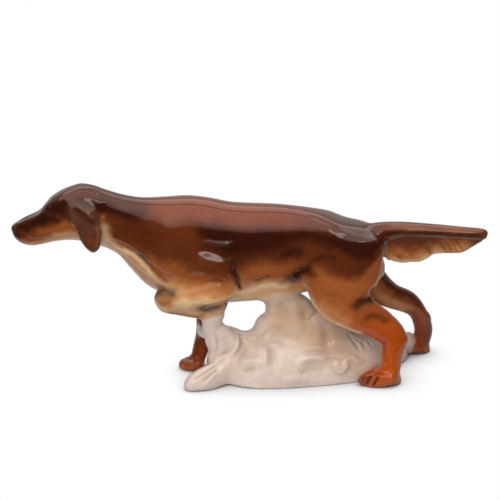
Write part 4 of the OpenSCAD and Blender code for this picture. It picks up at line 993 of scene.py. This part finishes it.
def drawn(line, tree):
    """A brush line through a few stops, closely spaced and laid on the skin."""
    stops = np.asarray(line, float)
    if len(stops) > 1:
        run = run_along(stops)
        count = max(3, int(run[-1] / BRUSH_STEP))
        stops = along([(r, *stop) for r, stop in zip(run, stops)], np.linspace(0, run[-1], count))
    laid = np.array([tree.find(stop)[0] for stop in stops])
    for _ in range(3):
        laid[1:-1] = (laid[:-2] + 2 * laid[1:-1] + laid[2:]) / 4
    return laid


def wandering(points, swing):
    """Points shifted by slow waves, which give a brush drawn over them an uneven edge."""
    x, y, z = points.T / 9.0
    waves = [np.sin(2.1 * y + 1.7 * z) + 0.6 * np.sin(4.9 * x - 3.2 * z) + 0.5 * np.sin(9.0 * z + 5.0 * x),
             np.sin(1.9 * x + 2.3 * z + 1.0) + 0.5 * np.sin(6.1 * z - 2.0 * x),
             np.sin(2.4 * x - 1.3 * y) + 0.6 * np.sin(4.3 * z + 5.1 * x) + 0.5 * np.sin(8.3 * x - 6.0 * z)]
    return points + swing * np.stack(waves, -1)


def eased(value, low, high):
    t = np.clip((value - low) / (high - low), 0, 1)
    return t * t * (3 - 2 * t)


def fused_skin(grain):
    """Fuses the clay on the bench into points, in sculpted millimetres, and quads with their castings and lumps."""
    bench = clay_bench()
    points, faces, owner, lump_of, start = [], [], [], [], 0
    lumps = sorted({lump["lump"] for lump in bench.objects})
    for lump in bench.objects:
        co, polygons = mesh_arrays(lump.data)
        points.append(co)
        faces += [tuple(v + start for v in f) for f in polygons]
        owner += [CASTINGS.index(lump["casting"])] * len(polygons)
        lump_of += [lumps.index(lump["lump"])] * len(polygons)
        start += len(co)
    points = np.concatenate(points)
    joined = bpy.data.objects.new("luted", new_mesh("luted", points, faces))
    bench.objects.link(joined)
    fuse = joined.modifiers.new("fuse", "REMESH")
    fuse.mode = "VOXEL"
    fuse.voxel_size = grain
    fuse.adaptivity = 0.0
    whole = finished_mesh(joined)
    co = mesh_points(whole)
    if any(len(f.vertices) != 4 for f in whole.polygons):
        raise RuntimeError("The fused skin has faces that aren't quads")
    corner = np.empty(len(whole.loops), dtype=np.int32)
    whole.loops.foreach_get("vertex_index", corner)
    quads = corner.reshape(-1, 4).astype(np.int64)
    tree = BVHTree.FromPolygons([Vector(p) for p in points], faces)
    middle = co[quads].mean(axis=1)
    nearest = [tree.find_nearest(Vector(p))[2] for p in middle]
    casting, lump = np.array(owner)[nearest], np.array(lump_of)[nearest]
    for loose in list(bench.objects):
        bpy.data.objects.remove(loose)
    bpy.context.scene.collection.children.unlink(bench)
    bpy.data.collections.remove(bench)
    mm = co / MM - (0, MIDLINE_Y, 0)
    on_trunk = casting == CASTINGS.index("trunk")
    casting[on_trunk & (middle[:, 0] < NECK_JOINT_X * MM)] = CASTINGS.index("head")
    return mm, quads, casting, lump, lumps


def luted(points, quads, edges, degree, lump, lumps):
    """Draws slip into the corner at each joint, so that one lump runs into the next."""
    low = np.full(len(points), len(lumps))
    high = np.full(len(points), -1)
    for i in range(4):
        np.minimum.at(low, quads[:, i], lump)
        np.maximum.at(high, quads[:, i], lump)
    reach = np.zeros(len(points))
    for (a, b), width in FILLETS.items():
        pair = sorted((lumps.index(a), lumps.index(b)))
        on = (low == pair[0]) & (high == pair[1])
        weight = on.astype(float)
        for ring in range(1, width):
            spread = np.bincount(edges[:, 0], on[edges[:, 1]], len(points))
            spread += np.bincount(edges[:, 1], on[edges[:, 0]], len(points))
            fresh = (spread > 0) & ~on
            weight[fresh] = 1 - ring / width
            on = on | fresh
        reach = np.maximum(reach, eased(weight, 0, 1))
    for turn in range(FILLET_ROUNDS):
        if turn % 8 == 0:
            normal = outward(points, quads)
        step = averaged(points, edges, degree) - points
        lift = (step * normal).sum(axis=1, keepdims=True)
        fill = np.maximum(lift, RIDGE_SHARE * lift) * normal + SLIDE_SHARE * (step - lift * normal)
        points = points + FILLET_PACE * reach[:, None] * fill
    return points


def face_neighbours(quads):
    """For each quad, the quads across its four edges."""
    count = len(quads)
    pairs = sides_of(quads)
    pairs.sort(axis=1)
    key = pairs[:, 0] * (quads.max() + 1) + pairs[:, 1]
    order = np.argsort(key, kind="stable")
    beside = np.repeat(np.arange(count)[None, :], 4, 0).ravel()
    same = key[order[:-1]] == key[order[1:]]
    first = np.flatnonzero(same)
    first = first[np.concatenate([[True], np.diff(first) > 1])]
    a, b = order[first], order[first + 1]
    face = np.tile(np.arange(count), 4)
    beside[a], beside[b] = face[b], face[a]
    return beside.reshape(4, count).T


def settled_castings(casting, beside, rounds=24):
    """Draws smooth seams between the castings and gives loose patches to what surrounds them."""
    share = np.eye(len(CASTINGS), dtype=np.float32)[casting]
    for _ in range(rounds):
        a, b, c, d = (share[beside[:, i]] for i in range(4))
        share = 0.4 * share + 0.15 * (a + b + c + d)
    casting = share.argmax(axis=1)
    seen = np.full(len(casting), -1)
    patches = []
    for seed in range(len(casting)):
        if seen[seed] >= 0:
            continue
        seen[seed], patch, queue = len(patches), [seed], deque([seed])
        while queue:
            for other in beside[queue.popleft()]:
                if seen[other] < 0 and casting[other] == casting[seed]:
                    seen[other] = len(patches)
                    patch.append(other)
                    queue.append(other)
        patches.append(patch)
    for kind in range(len(CASTINGS)):
        own = sorted((p for p in patches if casting[p[0]] == kind), key=len)
        for loose in own[:-1]:
            around = casting[beside[loose]].ravel()
            around = around[around != kind]
            if len(around):
                casting[loose] = np.bincount(around).argmax()
    return casting


def point_castings(casting, quads, count):
    """Share of each casting at each point."""
    share = np.zeros((count, len(CASTINGS)))
    for i in range(4):
        np.add.at(share, (quads[:, i], casting), 1)
    return share / share.sum(axis=1, keepdims=True)


def named_share(share, names):
    return np.clip(sum(share[:, CASTINGS.index(n)] for n in names.split()), 0, 1)


def modelled(points, quads, share):
    """Adds the muscles, creases and details to the fused skin."""
    normal = outward(points, quads)
    height = np.zeros(len(points))
    tree = skin_tree(points)
    for castings, alike, width, lift, line in MODELLING:
        height += named_share(share, castings) * lift * brushed(points, alike, drawn(line, tree), width, BRUSH_TAPER)
    return points + normal * height[:, None]


def coat_levels(points):
    """Where a point lies between the underline, 0, and the topline, 1."""
    x = np.clip(points[:, 0], *COAT_RANGE)
    top, bottom = along(BODY_TOP, x)[:, 0], along(BODY_BOTTOM, x)[:, 0]
    return np.clip((points[:, 2] - bottom) / (top - bottom), -1, 1)


def blended(colour, other, amount):
    return colour + amount[:, None] * (np.asarray(other) - colour)


def painted(points, share, hollow, colours):
    """Underglaze colour at each point, sprayed from broad to fine, with painted shade, highlights and reflections laid
    in.
    """
    paint = np.tile(np.array(colours.ivory), (len(points), 1))
    uneven = wandering(points, COAT_SWING)
    level = coat_levels(uneven)
    band = along(COAT_BANDS, np.clip(uneven[:, 0], COAT_BANDS[0][0], COAT_BANDS[-1][0]))
    legs = named_share(share, LEGS)
    hind = named_share(share, "left_hind_leg right_hind_leg")
    body = np.tile(np.array(colours.umber), (len(points), 1))
    for stop, colour in enumerate((colours.walnut, colours.amber, colours.tan, colours.cream)):
        spread = 1 - eased(level - band[:, stop], -BAND_SOFTNESS, BAND_SOFTNESS)
        body = blended(body, colour, spread if stop < 2 else spread * (1 - hind))
    body = blended(body, colours.chestnut, band[:, 4] * eased(level, *TOPLINE_LEVELS))
    leg = blended(body, colours.russet, 1 - eased(uneven[:, 2], *RUSSET_HEIGHTS))
    paint = blended(paint, body, 1 - named_share(share, BASE))
    # Ears in cocoa, whose grey is a painted reflection
    paint = blended(paint, colours.cocoa, named_share(share, EARS))
    paint = blended(paint, colours.walnut, named_share(share, "tail"))
    paint = blended(paint, leg, legs)
    # Fawn in the base's hollows is painted shade
    fawn = np.clip(FAWN_SHARES[0] + FAWN_SHARES[1] * hollow, 0, 1)
    paint = blended(paint, colours.fawn, named_share(share, BASE) * fawn)
    tree = skin_tree(points)
    for castings, alike, colour, strength, reach, line in PAINTING:
        swing = min(STROKE_SWING_MOST, STROKE_SWING * reach)
        spray = brushed(wandering(points, swing), alike, drawn(line, tree), reach)
        paint = blended(paint, getattr(colours, colour), strength * named_share(share, castings) * spray)
    dog = 1 - named_share(share, BASE)
    # Umber in the hollows is painted shade; tan on the ridges makes them paler
    paint = blended(paint, colours.umber, dog * HOLLOW_SHADE[0] * np.clip(hollow - HOLLOW_SHADE[1], 0, 1))
    return blended(paint, colours.tan, dog * RIDGE_PALING[0] * np.clip(-hollow - RIDGE_PALING[1], 0, 1))


def noise_between(tree, noise, low, high):
    """The middle of a noise's range, spread out between two values."""
    return put(tree, "ShaderNodeMapRange", {"Value": noise, "From Min": 0.3, "From Max": 0.7, "To Min": low,
                                            "To Max": high}).outputs[0]


def glaze_material(name, roughness, grain_scale, grain_strength):
    """Painted colour under a clear glossy glaze, with airbrushed grain, soft clouds and a faint ripple."""
    material = bpy.data.materials.new(name)
    tree = fresh_tree(material)
    paint = put(tree, "ShaderNodeAttribute", attribute_name="paint").outputs["Color"]
    place = put(tree, "ShaderNodeTexCoord").outputs["Object"]
    run = put(tree, "ShaderNodeMapping", {"Vector": place, "Scale": (0.24, 1.0, 1.0), "Rotation": (0, 0.3, 0)})
    grain = put(tree, "ShaderNodeTexNoise", {"Vector": run.outputs[0], "Scale": grain_scale, "Detail": 5.0,
                                             "Roughness": 0.62, "Distortion": 0.4})
    cloud = put(tree, "ShaderNodeTexNoise", {"Vector": place, "Scale": 60.0, "Detail": 2.0})
    light = noise_between(tree, grain.outputs[0], 1 - grain_strength, 1 + grain_strength)
    broad = noise_between(tree, cloud.outputs[0], 0.92, 1.08)
    level = math_node(tree, "MULTIPLY", light, broad)
    tint = put(tree, "ShaderNodeVectorMath", {0: paint, "Scale": level}, operation="SCALE")
    ripple = put(tree, "ShaderNodeTexNoise", {"Vector": place, "Scale": 240.0, "Detail": 2.0})
    rough = noise_between(tree, ripple.outputs[0], roughness * 0.7, roughness * 1.5)
    bump = put(tree, "ShaderNodeBump", {"Strength": 0.06, "Distance": 0.0004, "Height": ripple.outputs[0]})
    shader = put(tree, "ShaderNodeBsdfPrincipled", {
        "Base Color": tint.outputs[0], "Roughness": rough, "Specular IOR Level": 0.1, "IOR": 1.5,
        "Normal": bump.outputs[0], "Coat Weight": 1.0, "Coat Roughness": 0.03, "Coat IOR": 1.5})
    put(tree, "ShaderNodeOutputMaterial", {0: shader.outputs[0]})
    return material


def cut_casting(name, points, quads, normal, paint, material):
    """One closed casting cut from the fused skin, with its seams walled off."""
    used, local = np.unique(quads, return_inverse=True)
    local = local.reshape(-1, 4)
    count = len(used)
    half = sides_of(local)
    key = np.sort(half, axis=1) @ (count, 1)
    _, first, times = np.unique(key, return_index=True, return_counts=True)
    rim = {}
    for a, b in half[first[times == 1]]:
        rim.setdefault(int(b), []).append(int(a))
    corners, caps = [], []
    while rim:
        at = start = next(iter(rim))
        loop = []
        while at in rim:
            ahead = rim[at].pop()
            if not rim[at]:
                del rim[at]
            loop.append(at)
            at = ahead
        if at != start or len(loop) < 3:
            raise RuntimeError(f"A seam of {name} doesn't close")
        centre = count + len(corners)
        corners.append(points[used[loop]].mean(axis=0))
        caps += [(loop[i], loop[(i + 1) % len(loop)], centre) for i in range(len(loop))]
    extra = len(corners)
    all_points = np.concatenate([points[used], np.array(corners).reshape(-1, 3)])
    mesh = new_mesh(name, in_frame(all_points), local.tolist() + caps)
    colour = np.ones((count + extra, 4), dtype=np.float32)
    colour[:count, :3] = paint[used]
    mesh.attributes.new("paint", "FLOAT_COLOR", "POINT").data.foreach_set("color", colour.ravel())
    mesh.polygons.foreach_set("use_smooth", np.ones(len(mesh.polygons), dtype=bool))
    facing = np.concatenate([normal[used], np.tile((0.0, 0.0, 1.0), (extra, 1))])
    mesh.normals_split_custom_set_from_vertices(facing.tolist())
    mesh.materials.append(material)
    casting = bpy.data.objects.new(name, mesh)
    bpy.context.scene.collection.objects.link(casting)
    return casting


class SETTER_OT_fettle(bpy.types.Operator):
    """Lutes the clay into one skin, models and paints its surface and cuts it into the castings"""
    bl_idname = "setter.fettle"
    bl_label = "Lute, model and glaze"

    def execute(self, context):
        sizes, colours = context.scene.setter_sizes, context.scene.setter_colours
        points, quads, casting, lump, lumps = fused_skin(sizes.grain)
        edges = edge_list(quads)
        degree = np.maximum(np.bincount(edges.ravel(), minlength=len(points)), 1)
        points = fettled(points, edges, degree, FUSED_ROUNDS)
        points = luted(points, quads, edges, degree, lump, lumps)
        points = fettled(points, edges, degree, LUTED_ROUNDS)
        beside = face_neighbours(quads)
        casting = settled_castings(casting, beside)
        share = point_castings(casting, quads, len(points))
        soft = spread_out(share, edges, degree, SEAM_ROUNDS, keep=0.5)
        points = modelled(points, quads, soft)
        points = fettled(points, edges, degree, MODELLED_ROUNDS)
        points[:, 2] = np.maximum(points[:, 2], 0)
        normal = outward(points, quads)
        broad = spread_out(points, edges, degree, FORM_ROUNDS)
        hollow = np.clip(((broad - points) * normal).sum(axis=1) / HOLLOW_DEPTH, -1, 1)
        wide = spread_out(soft, edges, degree, SPRAY_ROUNDS)
        base = named_share(soft, BASE)[:, None]
        wide = np.where(base > 0.5, soft, wide * (1 - base) + soft * base)
        paint = painted(points, wide, hollow, colours)
        paint = spread_out(paint, edges, degree, 1, keep=0.5)
        glazes = {glaze: glaze_material(glaze, colours.glaze_roughness * rough, scale, strength)
                  for glaze, (rough, scale, strength) in GLAZE_GRAIN.items()}
        for i, name in enumerate(CASTINGS):
            piece = cut_casting(name + "_casting", points, quads[casting == i], normal, paint, glazes[GLAZES[name]])
            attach(piece, "root")
            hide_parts(name)
        return {"FINISHED"}


# Camera: distance, degrees above the table, the place that it looks at and the width that it sees there
CAMERA_DISTANCE = 1.4
CAMERA_RISE = 19
CAMERA_AIM = (0.0003, MIDLINE_Y * MM, 0.0758)
VIEW_WIDTH = 0.2948
SENSOR_WIDTH = 36.0
# Overhead panels: (name, y, depth, power). The gap over the back shows in the glaze as a fine dark line.
OVERHEAD = [("overhead_front", -0.2325, 0.935, 5.7), ("overhead_edge", -0.83, 0.26, 1.15),
            ("overhead_rim", -1.06, 0.2, 0.45), ("overhead_back", 0.76, 0.87, 4.8)]
OVERHEAD_HEIGHT = 0.95
OVERHEAD_WIDTH = 1.6
OVERHEAD_COLOUR = (1, 0.95, 0.9)
KEY_COLOUR = (1, 1, 1)
FILL_COLOUR = (1, 0.98, 0.95)
# Other lamps: (name, place, aim, width, depth, power, colour, whether the glaze reflects it)
LAMPS = [("right_key", (0.42, -0.8, 0.95), (0, 0, 0.07), 0.26, 0.26, 0.55, KEY_COLOUR, True),
         ("front_fill", (-0.6, -1.1, 1.05), (0, 0, 0.06), 1.2, 0.9, 13.4, FILL_COLOUR, False),
         ("table_card", (0.02, -0.42, 0.03), (0.02, 0, 0.06), 0.8, 0.3, 1, FILL_COLOUR, False)]
# Reach of the contact shadow on the table, and how open a place is where it is darkest and where it ends
SHADOW_REACH = 0.03
SHADOW_OPENNESS = (0.35, 0.92)
# Middle and half widths of the round table top, and how far it lies below the figure
TABLE_CENTRE = (0.02, 0.075)
TABLE_HALF = (0.30, 0.14)
TABLE_DROP = 0.0002
TABLE_COLOUR = (0.55, 0.565, 0.58, 1)
# Light of the room from the sides and front, and from straight behind the figure
ROOM_LIGHT = (0.06, 0.44)
ROOM_COLOUR = (1, 0.97, 0.94, 1)


def seen_directly(tree):
    """1 for what the camera sees, straight or through glass, and 0 for light and reflections."""
    path = put(tree, "ShaderNodeLightPath")
    return math_node(tree, "MAXIMUM", path.outputs["Is Camera Ray"], path.outputs["Is Transmission Ray"])


def area_light(name, place, aim, width, depth, power, colour, reflected=True):
    """Rectangular lamp at a place, turned to face another."""
    lamp = bpy.data.lights.new(name, "AREA")
    lamp.shape = "RECTANGLE"
    lamp.size, lamp.size_y = width, depth
    lamp.energy = power
    lamp.color = colour
    holder = bpy.data.objects.new(name, lamp)
    holder.location = place
    holder.rotation_euler = (Vector(aim) - Vector(place)).to_track_quat("-Z", "Y").to_euler()
    holder.visible_glossy = reflected
    bpy.context.scene.collection.objects.link(holder)


class SETTER_OT_stage(bpy.types.Operator):
    """Sets a white table top, soft studio light and the camera"""
    bl_idname = "setter.stage"
    bl_label = "Stage"

    def execute(self, context):
        scene = context.scene
        a = np.linspace(0, 2 * math.pi, 96, endpoint=False)
        top = np.stack([TABLE_CENTRE[0] + TABLE_HALF[0] * np.cos(a), TABLE_CENTRE[1] + TABLE_HALF[1] * np.sin(a),
                        0 * a - TABLE_DROP], -1)
        table = bpy.data.objects.new("table_top", new_mesh("table_top", top, [list(range(len(a)))]))
        scene.collection.objects.link(table)
        white = bpy.data.materials.new("white_table")
        tree = fresh_tree(white)
        matt = put(tree, "ShaderNodeBsdfDiffuse", {"Color": TABLE_COLOUR})
        near = put(tree, "ShaderNodeAmbientOcclusion", {"Distance": SHADOW_REACH}, samples=16)
        fade = put(tree, "ShaderNodeMapRange", {"Value": near.outputs["AO"], "From Min": SHADOW_OPENNESS[0],
                                                "From Max": SHADOW_OPENNESS[1], "To Min": 0.0, "To Max": 1.0})
        paper = put(tree, "ShaderNodeEmission", {"Color": (1, 1, 1, 1), "Strength": 1.0})
        bare = math_node(tree, "MULTIPLY", seen_directly(tree), fade.outputs[0])
        both = put(tree, "ShaderNodeMixShader", {0: bare, 1: matt.outputs[0], 2: paper.outputs[0]})
        put(tree, "ShaderNodeOutputMaterial", {0: both.outputs[0]})
        table.data.materials.append(white)

        world = bpy.data.worlds.new("studio")
        scene.world = world
        tree = fresh_tree(world)
        way = put(tree, "ShaderNodeSeparateXYZ", {0: put(tree, "ShaderNodeTexCoord").outputs["Generated"]})
        lift = put(tree, "ShaderNodeMapRange", {"Value": way.outputs["Y"], "From Min": 0.0, "From Max": 1.0,
                                                "To Min": ROOM_LIGHT[0], "To Max": ROOM_LIGHT[1]})
        room = put(tree, "ShaderNodeBackground", {"Color": ROOM_COLOUR, "Strength": lift.outputs[0]})
        paper = put(tree, "ShaderNodeBackground", {"Color": (1, 1, 1, 1), "Strength": 1.0})
        mixed = put(tree, "ShaderNodeMixShader", {0: seen_directly(tree), 1: room.outputs[0], 2: paper.outputs[0]})
        put(tree, "ShaderNodeOutputWorld", {0: mixed.outputs[0]})

        for name, y, depth, power in OVERHEAD:
            area_light(name, (0, y, OVERHEAD_HEIGHT), (0, y, 0), OVERHEAD_WIDTH, depth, power, OVERHEAD_COLOUR)
        for lamp in LAMPS:
            area_light(*lamp)

        lens = bpy.data.cameras.new("camera")
        lens.sensor_width = SENSOR_WIDTH
        lens.lens = SENSOR_WIDTH * CAMERA_DISTANCE / VIEW_WIDTH
        camera = bpy.data.objects.new("camera", lens)
        aim = Vector(CAMERA_AIM)
        lean = math.radians(CAMERA_RISE)
        camera.location = aim + CAMERA_DISTANCE * Vector((0, -math.cos(lean), math.sin(lean)))
        camera.rotation_euler = (aim - camera.location).to_track_quat("-Z", "Y").to_euler()
        scene.collection.objects.link(camera)
        scene.camera = camera
        scene.view_settings.view_transform = "Standard"
        return {"FINISHED"}


class SETTER_PT_bench(bpy.types.Panel):
    """Steps of making the figure, in order"""
    bl_idname = "SETTER_PT_bench"
    bl_label = "Porcelain setter"
    bl_space_type = "VIEW_3D"
    bl_region_type = "UI"
    bl_category = "Setter"

    def draw(self, context):
        column = self.layout.column()
        for step in STEPS:
            column.operator(step.bl_idname)
        for group in (context.scene.setter_sizes, context.scene.setter_colours):
            for name in group.__annotations__:
                column.prop(group, name)


STEPS = [SETTER_OT_body, SETTER_OT_ears, SETTER_OT_tail, SETTER_OT_legs, SETTER_OT_mound, SETTER_OT_fettle,
         SETTER_OT_stage]
CLASSES = [SetterSizes, SetterColours, *STEPS, SETTER_PT_bench]


def register():
    for cls in CLASSES:
        bpy.utils.register_class(cls)
    bpy.types.Scene.setter_sizes = bpy.props.PointerProperty(type=SetterSizes)
    bpy.types.Scene.setter_colours = bpy.props.PointerProperty(type=SetterColours)


def unregister():
    del bpy.types.Scene.setter_colours
    del bpy.types.Scene.setter_sizes
    for cls in reversed(CLASSES):
        bpy.utils.unregister_class(cls)


def main():
    register()
    bpy.ops.setter.body()
    bpy.ops.setter.ears()
    bpy.ops.setter.tail()
    bpy.ops.setter.legs()
    bpy.ops.setter.mound()
    bpy.ops.setter.fettle()
    bpy.ops.setter.stage()


if __name__ == "__main__":
    main()
